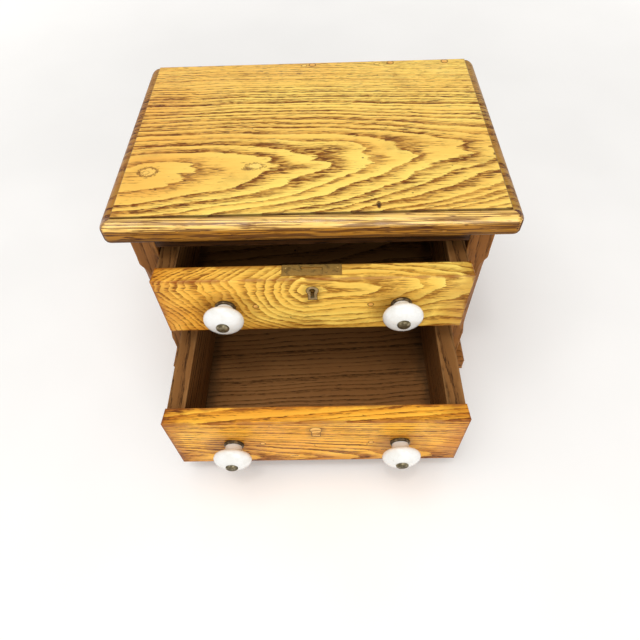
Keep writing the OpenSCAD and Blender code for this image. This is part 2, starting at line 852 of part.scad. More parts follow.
module lock_screw_hole() {
    screw_body(lock_screw_d, lock_screw_head_d, lock_screw_head_h, lock_screw_len, hole_gap);
}

// Plate inside the front, bent over its top edge, with a slot for the bolt
module lock_plate() {
    color(brass)
    at_drawer(UPPER)
    difference() {
        translate([0, 0, front_top(UPPER)]) {
            box([-lock_w / 2, front_t - lock_t, -lock_h], [lock_w / 2, front_t, 0]);
            box([-lock_w / 2, front_t - lock_edge_d, -lock_t], [lock_w / 2, front_t, 0]);
        }
        lock_bolt_way();
        at_lock_screws() lock_screw_hole();
        translate([0, 0, key_z(UPPER)])
            along_y(front_t - lock_t - over, front_t + over) circle(d = key_post_d + 2 * hole_gap);
    }
}

// Room in which the lock's bolt slides
module lock_bolt_way() {
    translate([0, 0, front_top(UPPER)])
        box([-lock_bolt_w / 2 - bolt_gap, lock_bolt_y - bolt_gap, -lock_t - lock_bolt_h],
            [lock_bolt_w / 2 + bolt_gap, lock_bolt_y + lock_bolt_t + bolt_gap, over]);
}

module lock_case() {
    color(iron)
    at_drawer(UPPER)
    difference() {
        translate([0, 0, front_top(UPPER)])
            box([-case_w / 2, lock_case_y, -lock_t - case_h], [case_w / 2, front_t - lock_t, -lock_t]);
        lock_bolt_way();
        translate([0, 0, key_z(UPPER)]) {
            along_y(lock_case_y - over, front_t - lock_t - case_wall) circle(r = key_turn_r);
            along_y(lock_case_y, front_t) circle(d = key_post_d + 2 * hole_gap);
        }
    }
}

module lock_post() {
    color(iron)
    at_drawer(UPPER) translate([0, 0, key_z(UPPER)])
        along_y(key_insert_t / 2, front_t) circle(d = key_post_d);
}

module lock_screws() {
    color(iron)
    at_drawer(UPPER) at_lock_screws()
        screw(lock_screw_d, lock_screw_head_d, lock_screw_head_h, lock_screw_len);
}

// Drawn back into the case, with its end just inside the plate's edge and a notch for the key's bit
module lock_bolt() {
    notch_w = lock_bolt_w / 3;
    notch_h = lock_bolt_h / 4;
    color(brass)
    at_drawer(UPPER) translate([0, lock_bolt_y, front_top(UPPER) - lock_t - lock_bolt_h + bolt_gap])
    difference() {
        translate([-lock_bolt_w / 2, 0, 0]) cube([lock_bolt_w, lock_bolt_t, lock_bolt_h]);
        translate([-notch_w / 2, -over, -over]) cube([notch_w, lock_bolt_t + 2 * over, notch_h + over]);
    }
}

top_board();
base_board();
left_side();
right_side();
back_panel();
top_rail();
middle_rail();
left_runner();
right_runner();
left_kicker();
right_kicker();
upper_stops();
lower_stops();
top_screws();
base_screws();
back_nails();
runner_nails();
top_plugs();
upper_front();
upper_left_side();
upper_right_side();
upper_back();
upper_bottom();
upper_left_knob();
upper_right_knob();
upper_collars();
upper_knob_bolts();
upper_washers();
upper_nuts();
upper_nails();
upper_front_plugs();
keyhole_insert();
lock_plate();
lock_case();
lock_post();
lock_screws();
lock_bolt();
lower_front();
lower_left_side();
lower_right_side();
lower_back();
lower_bottom();
lower_left_knob();
lower_right_knob();
lower_collars();
lower_knob_bolts();
lower_washers();
lower_nuts();
lower_nails();
lower_front_plugs();
keyhole_plug();
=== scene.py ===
import json
import math
import random
import bmesh
import bpy
from mathutils import Matrix, Vector, noise


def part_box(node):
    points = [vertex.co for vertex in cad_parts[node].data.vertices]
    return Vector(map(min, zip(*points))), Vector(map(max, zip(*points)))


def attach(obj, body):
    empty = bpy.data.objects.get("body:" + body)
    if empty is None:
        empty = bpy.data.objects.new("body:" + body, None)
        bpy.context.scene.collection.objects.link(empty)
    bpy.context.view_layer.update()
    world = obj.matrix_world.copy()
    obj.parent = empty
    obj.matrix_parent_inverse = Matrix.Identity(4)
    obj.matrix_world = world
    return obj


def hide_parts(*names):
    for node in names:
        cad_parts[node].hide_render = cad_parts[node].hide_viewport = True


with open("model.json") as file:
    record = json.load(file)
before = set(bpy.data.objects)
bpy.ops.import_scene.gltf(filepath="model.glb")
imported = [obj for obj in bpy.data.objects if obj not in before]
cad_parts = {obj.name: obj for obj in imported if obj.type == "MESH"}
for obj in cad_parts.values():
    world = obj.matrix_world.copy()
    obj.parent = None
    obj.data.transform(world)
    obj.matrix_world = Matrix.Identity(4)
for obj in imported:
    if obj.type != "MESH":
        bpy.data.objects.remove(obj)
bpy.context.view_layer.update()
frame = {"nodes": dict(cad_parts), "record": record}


# Base board
# A plain oak board that closes the carcass underneath and shows as a narrow lip round its foot.
# Sawn, planed and screwed up into the ends of the side boards; its arrises are rubbed round by handling.

def paint(red, green, blue):
    """A colour written as it is seen, 0 to 255, in the linear form the shaders take."""
    def linear(level):
        level /= 255
        return level / 12.92 if level <= 0.04045 else ((level + 0.055) / 1.055) ** 2.4
    return (linear(red), linear(green), linear(blue), 1.0)


def add(tree, kind, inputs=None, **settings):
    """A node with its settings; each input takes a link from a socket, or a value."""
    node = tree.nodes.new("ShaderNode" + kind)
    for name, value in settings.items():
        setattr(node, name, value)
    for name, value in (inputs or {}).items():
        if isinstance(value, bpy.types.NodeSocket):
            tree.links.new(value, node.inputs[name])
        else:
            node.inputs[name].default_value = value
    return node


def calc(tree, operation, *values, clamp=False):
    """The result of one sum on sockets or numbers."""
    return add(tree, "Math", dict(enumerate(values)), operation=operation, use_clamp=clamp).outputs[0]


def blend(tree, share, under, over, mode="MIX"):
    """One colour laid over another by a share from 0 to 1."""
    factor, first_colour, second_colour, mixed_colour = 0, 6, 7, 2
    inputs = {factor: share, first_colour: under, second_colour: over}
    return add(tree, "Mix", inputs, data_type="RGBA", blend_type=mode).outputs[mixed_colour]


def ramp(tree, value, low, high, to_low=0.0, to_high=1.0, smooth=True):
    """A value eased from one range into another."""
    return add(
        tree, "MapRange",
        {"Value": value, "From Min": low, "From Max": high, "To Min": to_low, "To Max": to_high},
        interpolation_type="SMOOTHSTEP" if smooth else "LINEAR",
    ).outputs["Result"]


def stretched_noise(tree, place, stretch, seed, detail=2.0):
    """Noise drawn out along the grain: stretch is its pitch per metre along, across and through."""
    scaled = add(tree, "VectorMath", {0: place, 1: stretch}, operation="MULTIPLY").outputs[0]
    moved = add(tree, "VectorMath", {0: scaled, 1: seed}, operation="ADD").outputs[0]
    return add(tree, "TexNoise", {"Vector": moved, "Scale": 1.0, "Detail": detail}, noise_dimensions="3D")


def new_group(name, inputs, outputs):
    """An empty shader group with its named sockets, and its two end nodes."""
    tree = bpy.data.node_groups.new(name, "ShaderNodeTree")
    kinds = {"vector": "NodeSocketVector", "value": "NodeSocketFloat"}
    for label, kind in inputs:
        tree.interface.new_socket(name=label, in_out="INPUT", socket_type=kinds[kind])
    for label in outputs:
        tree.interface.new_socket(name=label, in_out="OUTPUT", socket_type="NodeSocketFloat")
    entry = tree.nodes.new("NodeGroupInput")
    leave = tree.nodes.new("NodeGroupOutput")
    return tree, entry.outputs, leave.inputs


def make_oak_figure():
    """Growth rings round a pith line, cut by the board's surface: place is along, across and through."""
    tree, given, result = new_group(
        "oak_figure",
        [
            ("Place", "vector"), ("Seed", "vector"), ("Pith Along", "value"), ("Pith Across", "value"),
            ("Pith Depth", "value"), ("Rise Before", "value"), ("Rise After", "value"),
            ("Ring Width", "value"), ("Crowding", "value"), ("Waver", "value"), ("Lobes", "value"),
            ("Ragged", "value"), ("Fade", "value"), ("Calm", "value"), ("Broad", "value"), ("Turn", "value"),
            ("Clean", "value"),
        ],
        ["Early", "Late", "Fibre", "Pores", "Tone"],
    )
    place, seed = given["Place"], given["Seed"]
    parts = add(tree, "SeparateXYZ", {0: place}).outputs

    slow = stretched_noise(tree, place, (12.0, 22.0, 22.0), seed, 1.0)
    drift = add(tree, "SeparateColor", {0: slow.outputs["Color"]}).outputs
    lobes = stretched_noise(tree, place, (20.0, 64.0, 64.0), seed, 2.0).outputs[0]
    fringe = stretched_noise(tree, place, (90.0, 1300.0, 1300.0), seed, 2.0).outputs[0]

    def swing(level, reach):
        """A noise level from 0 to 1 as a swing to both sides."""
        return calc(tree, "MULTIPLY", calc(tree, "SUBTRACT", level, 0.5), reach)

    along = calc(tree, "SUBTRACT", parts[0], given["Pith Along"])
    before = calc(tree, "MULTIPLY", calc(tree, "MINIMUM", along, 0.0), given["Rise Before"])
    after = calc(tree, "MULTIPLY", calc(tree, "MAXIMUM", along, 0.0), given["Rise After"])
    across = calc(tree, "SUBTRACT", parts[1], given["Pith Across"])
    lean_fall, lean_gain, lean_back = -8.0, 1.4, -0.4
    behind = calc(tree, "MAXIMUM", across, 0.0)
    lean = calc(tree, "EXPONENT", calc(tree, "MULTIPLY", behind, lean_fall))
    lean = calc(tree, "MULTIPLY", calc(tree, "MULTIPLY_ADD", lean, lean_gain, lean_back), given["Turn"])
    across = calc(tree, "SUBTRACT", across, calc(tree, "MULTIPLY", along, lean))
    across = calc(tree, "ADD", across, swing(drift[0], given["Waver"]))
    through = calc(tree, "SUBTRACT", parts[2], given["Pith Depth"])
    through = calc(tree, "ADD", through, swing(drift[1], given["Waver"]))
    through = calc(tree, "ADD", through, calc(tree, "ADD", before, after))
    aside = calc(tree, "ABSOLUTE", across)
    blunt = calc(tree, "DIVIDE", aside, calc(tree, "ADD", aside, given["Broad"]))
    blunt = calc(tree, "MULTIPLY", across, blunt)
    squares = calc(tree, "MULTIPLY_ADD", blunt, blunt, calc(tree, "MULTIPLY", through, through))
    radius = calc(tree, "SQRT", squares)
    near_fall = -28.0
    near = calc(tree, "EXPONENT", calc(tree, "MULTIPLY", aside, near_fall))
    radius = calc(tree, "MULTIPLY_ADD", swing(lobes, given["Lobes"]), near, radius)
    radius = calc(tree, "ADD", radius, swing(fringe, given["Ragged"]))
    crowd = calc(tree, "MULTIPLY_ADD", radius, given["Crowding"], 1.0)
    years = calc(tree, "MULTIPLY", calc(tree, "DIVIDE", radius, given["Ring Width"]), crowd)
    uneven_pitch, uneven_reach = 0.6, 1.1
    uneven_at = calc(tree, "MULTIPLY", years, uneven_pitch)
    uneven = add(tree, "TexNoise", {"W": uneven_at, "Scale": 1.0}, noise_dimensions="1D").outputs[0]
    years = calc(tree, "ADD", years, swing(uneven, uneven_reach))
    phase = calc(tree, "FRACT", years)
    year = add(tree, "TexWhiteNoise", {"W": calc(tree, "FLOOR", years)}, noise_dimensions="1D").outputs[0]
    tree.links.new(phase, result["Late"])

    streak = stretched_noise(tree, place, (24.0, 1000.0, 1000.0), seed, 3.0).outputs[0]
    dashes = stretched_noise(tree, place, (130.0, 1500.0, 1500.0), seed, 1.0).outputs[0]
    streak_share, dash_share = 0.6, 0.4
    streak = calc(tree, "MULTIPLY_ADD", streak, streak_share, calc(tree, "MULTIPLY", dashes, dash_share))
    streak = ramp(tree, streak, 0.3, 0.7, smooth=False)
    fade = calc(tree, "MULTIPLY", given["Fade"], ramp(tree, year, 0.0, 1.0, 0.7, 1.3, smooth=False))
    clear = calc(tree, "SUBTRACT", 1.0, calc(tree, "MULTIPLY", near, given["Clean"]))
    fade = calc(tree, "MULTIPLY", fade, clear)
    bar = calc(tree, "DIVIDE", phase, fade)
    softness = 0.3
    early = ramp(tree, streak, calc(tree, "SUBTRACT", bar, softness), calc(tree, "ADD", bar, softness))
    early = calc(tree, "MULTIPLY", early, ramp(tree, year, 0.0, 1.0, 0.7, 1.0))
    calm = ramp(tree, radius, given["Calm"], calc(tree, "MULTIPLY", given["Calm"], 2.0))
    less_in_calm = -0.6
    early = calc(tree, "MULTIPLY", early, calc(tree, "MULTIPLY_ADD", calm, less_in_calm, 1.0))
    patches = stretched_noise(tree, place, (14.0, 40.0, 40.0), seed, 2.0).outputs[0]
    early = calc(tree, "MULTIPLY", early, ramp(tree, patches, 0.36, 0.5, 0.65, 1.0))
    grit = stretched_noise(tree, place, (150.0, 680.0, 680.0), seed, 2.0).outputs[0]
    early = calc(tree, "MULTIPLY", early, ramp(tree, grit, 0.36, 0.54, 0.5, 1.1))
    tree.links.new(early, result["Early"])

    fibre = stretched_noise(tree, place, (14.0, 520.0, 520.0), seed, 4.0).outputs[0]
    tree.links.new(ramp(tree, fibre, 0.3, 0.7, smooth=False), result["Fibre"])
    pores = stretched_noise(tree, place, (120.0, 1000.0, 1000.0), seed, 2.0).outputs[0]
    pore_level, pore_blur, more_in_calm, more_in_early = 0.66, 0.09, -0.05, -0.2
    sparse = calc(tree, "MULTIPLY_ADD", calm, more_in_calm, pore_level)
    sparse = calc(tree, "MULTIPLY_ADD", early, more_in_early, sparse)
    tree.links.new(ramp(tree, pores, sparse, calc(tree, "ADD", sparse, pore_blur)), result["Pores"])
    tone = stretched_noise(tree, place, (7.0, 16.0, 16.0), seed, 2.0).outputs[0]
    tree.links.new(ramp(tree, tone, 0.3, 0.7), result["Tone"])
    return tree


def make_worn_edges():
    """A mask that is 1 on the arrises of a board, whose opposite corners are Low and High, and uneven."""
    tree, given, result = new_group(
        "worn_edges",
        [("Place", "vector"), ("Low", "vector"), ("High", "vector"), ("Reach", "value")],
        ["Edge"],
    )
    from_low = add(tree, "VectorMath", {0: given["Place"], 1: given["Low"]}, operation="SUBTRACT").outputs[0]
    from_high = add(tree, "VectorMath", {0: given["High"], 1: given["Place"]}, operation="SUBTRACT").outputs[0]
    inset = add(tree, "VectorMath", {0: from_low, 1: from_high}, operation="MINIMUM").outputs[0]
    inset = add(tree, "VectorMath", {0: inset, 1: (0, 0, 0)}, operation="MAXIMUM").outputs[0]
    x, y, z = add(tree, "SeparateXYZ", {0: inset}).outputs
    nearer = calc(tree, "MINIMUM", x, y)
    farther = calc(tree, "MAXIMUM", x, y)
    second = calc(tree, "MAXIMUM", nearer, calc(tree, "MINIMUM", farther, z))
    rub = add(tree, "TexNoise", {"Vector": given["Place"], "Scale": 60.0, "Detail": 4.0}).outputs[0]
    reach = calc(tree, "MULTIPLY", given["Reach"], ramp(tree, rub, 0.3, 0.7, 0.15, 1.8))
    tree.links.new(calc(tree, "SUBTRACT", 1.0, ramp(tree, second, 0.0, reach)), result["Edge"])
    return tree


def make_old_varnish():
    """Patchy sheen, dark handling marks and small dark specks left by a century of use."""
    tree, given, result = new_group(
        "old_varnish", [("Place", "vector"), ("Seed", "vector")], ["Sheen", "Grime", "Specks", "Scratches"]
    )
    place = add(tree, "VectorMath", {0: given["Place"], 1: given["Seed"]}, operation="ADD").outputs[0]
    sheen = add(tree, "TexNoise", {"Vector": place, "Scale": 38.0, "Detail": 5.0}).outputs[0]
    tree.links.new(ramp(tree, sheen, 0.3, 0.7), result["Sheen"])
    grime = add(tree, "TexNoise", {"Vector": place, "Scale": 17.0, "Detail": 6.0, "Roughness": 0.65}).outputs[0]
    tree.links.new(ramp(tree, grime, 0.55, 0.78), result["Grime"])
    cells = add(tree, "TexVoronoi", {"Vector": place, "Scale": 62.0})
    kept = calc(tree, "GREATER_THAN", add(tree, "SeparateColor", {0: cells.outputs["Color"]}).outputs[0], 0.6)
    dot = calc(tree, "SUBTRACT", 1.0, ramp(tree, cells.outputs["Distance"], 0.03, 0.075))
    tree.links.new(calc(tree, "MULTIPLY", kept, dot), result["Specks"])
    turned = add(tree, "VectorRotate", {"Vector": place, "Angle": 0.7}, rotation_type="Z_AXIS").outputs[0]
    lines = stretched_noise(tree, turned, (30.0, 900.0, 300.0), (3.1, 7.7, 1.9), 2.0).outputs[0]
    tree.links.new(ramp(tree, lines, 0.7, 0.78), result["Scratches"])
    return tree


oak_figure = make_oak_figure()
worn_edges = make_worn_edges()
old_varnish = make_old_varnish()


def place_group(tree, group, inputs):
    """One use of a shared group in a material, with this use's own values."""
    return add(tree, "Group", inputs, node_tree=group).outputs


def new_finish(name):
    """An empty finish: the material, its tree, its shader and the place on the piece in metres."""
    material = bpy.data.materials.new(name)
    material.use_nodes = True
    tree = material.node_tree
    return material, tree, tree.nodes["Principled BSDF"], add(tree, "TexCoord").outputs["Object"]


def deeper(colour, share):
    """The same colour, darker."""
    return tuple(share * level for level in colour[:3]) + (1.0,)


def oak(name, piece, grain, figure, stain, contrast=1.0, wear=0.6, reach=0.003, roughness=0.5, coat=0.0,
        relief=0.35, grime=0.35, marks=(), polish=None):
    """An oak finish for one board: grain names the axes along, across and through the board."""
    material, tree, shader, here = new_finish(name)
    axes = dict(zip("xyz", add(tree, "SeparateXYZ", {0: here}).outputs))
    place = add(tree, "CombineXYZ", dict(enumerate(axes[letter] for letter in grain))).outputs[0]
    wood = place_group(tree, oak_figure, {"Place": place, **figure})
    low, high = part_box(piece)
    edges = place_group(tree, worn_edges, {"Place": here, "Low": low, "High": high, "Reach": reach})
    age = place_group(tree, old_varnish, {"Place": here, "Seed": figure["Seed"]})

    dark = stain["dark"]
    layers = (
        (wood["Fibre"], 0.35, stain["golden"]),
        (wood["Tone"], 0.45, stain["warm"]),
        (wood["Early"], 0.9 * contrast, dark),
        (wood["Pores"], 0.75 * contrast, deeper(dark, 0.4)),
        (age["Grime"], grime, deeper(dark, 0.6)),
        (age["Specks"], 0.8, deeper(dark, 0.2)),
        (edges["Edge"], wear, stain["worn"]),
    )
    colour = blend(tree, wood["Late"], stain["golden"], stain["pale"])
    for mask, share, layer in layers:
        colour = blend(tree, calc(tree, "MULTIPLY", mask, share), colour, layer)
    reliefs = (
        (wood["Pores"], -0.8), (wood["Early"], -0.5), (wood["Fibre"], 0.25),
        (age["Scratches"], -0.4), (age["Specks"], -1.5),
    )
    height = 0.0
    for mask, rise in reliefs:
        height = calc(tree, "MULTIPLY_ADD", mask, rise, height)
    for mark in marks:
        colour, height = mark(tree, here, colour, height)
    rough = calc(tree, "MULTIPLY_ADD", age["Sheen"], 0.2, roughness - 0.1)
    rough = calc(tree, "MULTIPLY_ADD", wood["Early"], 0.1, rough)
    bump = add(tree, "Bump", {"Strength": relief, "Distance": 0.0006, "Height": height})
    tree.links.new(colour, shader.inputs["Base Color"])
    tree.links.new(rough, shader.inputs["Roughness"])
    tree.links.new(bump.outputs["Normal"], shader.inputs["Normal"])
    if coat:
        edge_gain, less_in_early = 2.0, -0.85
        rubbed = calc(tree, "MULTIPLY_ADD", edges["Edge"], edge_gain * coat, coat)
        rubbed = calc(tree, "MULTIPLY", rubbed, calc(tree, "MULTIPLY_ADD", wood["Early"], less_in_early, 1.0))
        tree.links.new(polish(tree, here, rubbed) if polish else rubbed, shader.inputs["Coat Weight"])
    shader.inputs["Coat Roughness"].default_value = 0.17
    shader.inputs["Specular IOR Level"].default_value = 0.14
    return material


def rings(seed, pith, rise, width, crowding=0.0, waver=0.008, lobes=0.002, ragged=0.0008, fade=0.6, calm=1.0,
          broad=0.0, turn=0.0, clean=0.0):
    """The figure of one board: where its pith runs, how steeply the surface leaves it, and its rings."""
    return {
        "Seed": (seed, seed * 1.7, seed * 2.3), "Pith Along": pith[0], "Pith Across": pith[1],
        "Pith Depth": pith[2], "Rise Before": rise[0], "Rise After": rise[1], "Ring Width": width,
        "Crowding": crowding, "Waver": waver, "Lobes": lobes, "Ragged": ragged, "Fade": fade, "Calm": calm,
        "Broad": broad, "Turn": turn, "Clean": clean,
    }


body_of = {node: body for body, nodes in frame["record"]["behaviour"]["bodies"].items() for node in nodes}


def ease_board(node, material, ease, shave=None):
    """The CAD board with its long sharp arrises rubbed round unevenly, in place of the sharp one."""
    shape = bmesh.new()
    shape.from_mesh(frame["nodes"][node].data)
    weld, flat_angle, sharp_angle, crease_angle = 1e-6, math.radians(1), math.radians(40), math.radians(35)
    bmesh.ops.remove_doubles(shape, verts=shape.verts, dist=weld)
    bmesh.ops.dissolve_limit(shape, angle_limit=flat_angle, verts=shape.verts, edges=shape.edges)
    if shave:
        shave(shape)
    joint_l = 0.0105
    arrises = [
        edge for edge in shape.edges
        if edge.calc_length() > joint_l and len(edge.link_faces) == 2
        and edge.calc_face_angle_signed() > sharp_angle
    ]
    rub_step, rub_pitch, rub_depth = 0.007, 90.0, 0.3
    rubbed = []
    for edge in arrises:
        for left in range(int(edge.calc_length() / rub_step), 0, -1):
            start = edge.verts[0]
            piece, _ = bmesh.utils.edge_split(edge, start, 1 / (left + 1))
            if not piece.is_valid or start not in piece.verts:
                piece, edge = edge, piece
            rubbed.append(piece)
        rubbed.append(edge)
    made = bmesh.ops.bevel(
        shape, geom=rubbed, offset=ease, segments=3, profile=0.5, affect="EDGES", clamp_overlap=False,
    )
    round_faces = set(made["faces"])
    shape.normal_update()
    for vert in made["verts"]:
        if round_faces.issuperset(vert.link_faces):
            hollow = 0.5 + 0.5 * noise.noise(vert.co * rub_pitch)
            vert.co -= vert.normal * ease * rub_depth * hollow
    for face in shape.faces:
        face.smooth = True
    for edge in shape.edges:
        edge.smooth = len(edge.link_faces) == 2 and edge.calc_face_angle(0) < crease_angle
    mesh = bpy.data.meshes.new(node + "_eased")
    shape.to_mesh(mesh)
    shape.free()
    mesh.materials.append(material)
    board = bpy.data.objects.new(node + "_eased", mesh)
    bpy.context.scene.collection.objects.link(board)
    flat = board.modifiers.new("flat_faces", "WEIGHTED_NORMAL")
    flat.keep_sharp = True
    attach(board, body_of[node])
    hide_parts(node)
    return board


carcass_stain = {
    "warm": paint(119, 69, 24), "pale": paint(158, 104, 49), "golden": paint(140, 89, 36),
    "dark": paint(76, 42, 12), "worn": paint(172, 118, 62),
}
base_rings = rings(3.0, (0.0, 0.02, -0.09), (0.02, 0.02), 0.006)
base_oak = oak("base_oak", "base_board", "xyz", base_rings, carcass_stain)
ease_board("base_board", base_oak, 0.0012)


# Side boards
# Two oak boards with their grain upright; the front corners carry a stopped chamfer cut with a spokeshave.
# They stand on the base and the top is screwed down on them.

for node, seed, outward in (("left_side", 5.0, -1), ("right_side", 8.0, 1)):
    side_rings = rings(seed, (0.0, 0.03, outward * 0.05), (0.04 * outward, 0.05 * outward), 0.005)
    side_oak = oak(node + "_oak", node, "zyx", side_rings, carcass_stain, contrast=0.65)
    ease_board(node, side_oak, 0.0008)


# Rails
# Two oak rails tie the sides together at the front: one between the drawers, one under the top.
# Their ends are housed in the sides. The upper one, always in the shade of the top, is coloured nearly black as
# painted shade.

# Painted shade: near-black colours for the upper rail, standing for the shadow under the top.
rail_painted_shade_stain = {
    "warm": paint(54, 30, 11), "pale": paint(76, 46, 20), "golden": paint(64, 37, 15),
    "dark": paint(32, 17, 6), "worn": paint(92, 58, 28),
}
for node, seed, stain in (("middle_rail", 11.0, carcass_stain), ("top_rail", 13.0, rail_painted_shade_stain)):
    rail_rings = rings(seed, (0.0, 0.0, -0.15), (0.02, 0.02), 0.004)
    rail_oak = oak(node + "_oak", node, "xzy", rail_rings, stain)
    ease_board(node, rail_oak, 0.0006)


# Back panel
# A thin board let into rebates in the sides and nailed; it was never varnished and has gone dull and dark.

inner_stain = {
    "warm": paint(116, 76, 42), "pale": paint(150, 108, 66), "golden": paint(136, 94, 54),
    "dark": paint(88, 56, 28), "worn": paint(164, 124, 82),
}
back_rings = rings(17.0, (0.1, 0.09, 0.06), (0.1, 0.12), 0.007, waver=0.004)
back_oak = oak("back_oak", "back_panel", "xzy", back_rings, inner_stain, roughness=0.75)
ease_board("back_panel", back_oak, 0.0005)


# Runners, kickers and stops
# Sawn strips nailed inside the sides: the upper drawer runs on two and is held down by two.
# Small blocks glued behind each opening stop the drawers flush with the front.

for node, seed in (("left_runner", 19.0), ("right_runner", 21.0), ("left_kicker", 23.0), ("right_kicker", 25.0)):
    strip_rings = rings(seed, (0.0, 0.0, 0.25), (0.03, 0.03), 0.004)
    strip_oak = oak(node + "_oak", node, "yxz", strip_rings, inner_stain, roughness=0.75)
    ease_board(node, strip_oak, 0.0005)
for node, seed in (("upper_stops", 27.0), ("lower_stops", 29.0)):
    block_rings = rings(seed, (0.0, 0.0, 0.25), (0.03, 0.03), 0.004)
    block_oak = oak(node + "_oak", node, "xyz", block_rings, inner_stain, roughness=0.75)
    ease_board(node, block_oak, 0.0004)


# Top board
# One wide flat-sawn oak board with a bold cathedral figure and a thumbnail moulding along the front and ends.
# It is varnished golden; the quirk holds dark old wax, and the front corners are handled round.

def make_scar():
    """One ragged mark on a surface: Pit is 1 inside it, Rim is 1 on the ground just round it."""
    tree, given, result = new_group(
        "scar",
        [("Place", "vector"), ("Centre", "vector"), ("Half", "vector"), ("Ragged", "value")],
        ["Pit", "Rim"],
    )
    offset = add(tree, "VectorMath", {0: given["Place"], 1: given["Centre"]}, operation="SUBTRACT").outputs[0]
    share = add(tree, "VectorMath", {0: offset, 1: given["Half"]}, operation="DIVIDE").outputs[0]
    reach = add(tree, "VectorMath", {0: share}, operation="LENGTH").outputs["Value"]
    ragged = add(tree, "TexNoise", {"Vector": given["Place"], "Scale": 700.0, "Detail": 2.0}).outputs[0]
    ragged = calc(tree, "MULTIPLY", calc(tree, "SUBTRACT", ragged, 0.5), given["Ragged"])
    reach = calc(tree, "ADD", reach, ragged)
    tree.links.new(calc(tree, "SUBTRACT", 1.0, ramp(tree, reach, 0.7, 1.0)), result["Pit"])
    outside = calc(tree, "SUBTRACT", 1.0, ramp(tree, reach, 1.05, 1.45))
    tree.links.new(calc(tree, "MULTIPLY", ramp(tree, reach, 0.75, 1.0), outside), result["Rim"])
    return tree


scar_group = make_scar()


def scar(centre, half, inside, rim, strength=0.9, depth=1.0, ragged=0.9):
    """A mark for a finish: a pit of one colour with a rim of another, sunk into the surface."""
    def mark(tree, here, colour, height):
        shape = {"Place": here, "Centre": centre, "Half": half, "Ragged": ragged}
        masks = place_group(tree, scar_group, shape)
        colour = blend(tree, calc(tree, "MULTIPLY", masks["Rim"], strength), colour, rim)
        colour = blend(tree, calc(tree, "MULTIPLY", masks["Pit"], strength), colour, inside)
        return colour, calc(tree, "MULTIPLY_ADD", masks["Pit"], -depth, height)
    return mark


moulding_w = 0.009
top_low, top_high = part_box("top_board")
field_x = top_high.x - moulding_w
field_front = top_low.y + moulding_w
wax = paint(58, 34, 14)
# The moulding's pale gold is raised above the wood's own colour, in part as a painted highlight on the round.
moulding_gold_and_highlight = paint(252, 206, 110)
moulding_dark = paint(104, 56, 8)
nose_painted_shade = (0.44, 0.3, 0.1, 1.0)
end_grain_shade = (0.42, 0.32, 0.2, 1.0)
grain_turn = 0.025
mitre_blur, quirk_blur = 0.0006, 0.001
nose_top, nose_foot = top_high.z - 0.005, top_high.z - 0.0085
wax_half, wax_reach = 0.0002, 0.0009
foot_dark_from, foot_dark_to = top_low.z + 0.001, top_low.z + 0.008


def waxed_moulding(tree, here, colour, height):
    """Dark wax in the quirk, and the handled wood of the moulding outside it: streaked gold, partly a painted
    highlight; darker end grain at the ends; painted shade on the nose; darker towards the lower edge.
    """
    x, y, z = add(tree, "SeparateXYZ", {0: here}).outputs
    from_end = calc(tree, "SUBTRACT", field_x, calc(tree, "ABSOLUTE", x))
    from_front = calc(tree, "SUBTRACT", y, field_front)
    inside = calc(tree, "MINIMUM", from_end, from_front)
    moulding = calc(tree, "SUBTRACT", 1.0, ramp(tree, inside, -quirk_blur, 0.0))
    turned = add(tree, "VectorRotate", {"Vector": here, "Angle": grain_turn}, rotation_type="Z_AXIS").outputs[0]
    strands = stretched_noise(tree, turned, (9.0, 900.0, 900.0), (33.0, 5.0, 9.0), 1.0).outputs[0]
    pores = stretched_noise(tree, turned, (60.0, 1100.0, 1100.0), (12.0, 41.0, 3.0), 2.0).outputs[0]
    streaks = calc(tree, "MULTIPLY", ramp(tree, strands, 0.44, 0.56), 0.8)
    streaks = calc(tree, "MAXIMUM", streaks, ramp(tree, pores, 0.56, 0.66))
    at_end = ramp(tree, calc(tree, "SUBTRACT", from_front, from_end), -mitre_blur, mitre_blur)
    along_front = calc(tree, "MULTIPLY", moulding, calc(tree, "SUBTRACT", 1.0, at_end))
    colour = blend(tree, along_front, colour, blend(tree, streaks, moulding_gold_and_highlight, moulding_dark))
    colour = blend(tree, calc(tree, "MULTIPLY", moulding, at_end), colour, end_grain_shade, "MULTIPLY")
    # Painted shade: the nose's front face, below the round, is made darker.
    nose = calc(tree, "SUBTRACT", 1.0, ramp(tree, z, nose_foot, nose_top))
    colour = blend(tree, nose, colour, nose_painted_shade, "MULTIPLY")
    line = calc(tree, "SUBTRACT", 1.0, ramp(tree, calc(tree, "ABSOLUTE", inside), wax_half, wax_reach))
    # Darker towards the lower edge of the front; with the wax line it takes the wax colour.
    under = calc(tree, "SUBTRACT", 1.0, ramp(tree, z, foot_dark_from, foot_dark_to))
    darkening = calc(tree, "MAXIMUM", line, calc(tree, "MULTIPLY", under, 0.7))
    return blend(tree, calc(tree, "MULTIPLY", darkening, 0.85), colour, wax), height


def polished_moulding(tree, here, rubbed):
    """The front round of the moulding, polished by a century of hands, shines more than the field."""
    _, y, z = add(tree, "SeparateXYZ", {0: here}).outputs
    step_foot, step_top = top_high.z - 0.0015, top_high.z - 0.001
    shine_foot, front_reach = top_high.z - 0.008, 0.004
    shine = add(tree, "TexNoise", {"Vector": here, "Scale": 70.0, "Detail": 4.0}).outputs[0]
    below_field = calc(tree, "SUBTRACT", 1.0, ramp(tree, z, step_foot, step_top))
    on_round = calc(tree, "MULTIPLY", below_field, ramp(tree, z, shine_foot, nose_top))
    on_front = calc(tree, "SUBTRACT", 1.0, ramp(tree, y, field_front, field_front + front_reach))
    on_round = calc(tree, "MULTIPLY", on_round, on_front)
    return calc(tree, "MULTIPLY_ADD", on_round, ramp(tree, shine, 0.35, 0.6, 0.3, 0.85), rubbed)


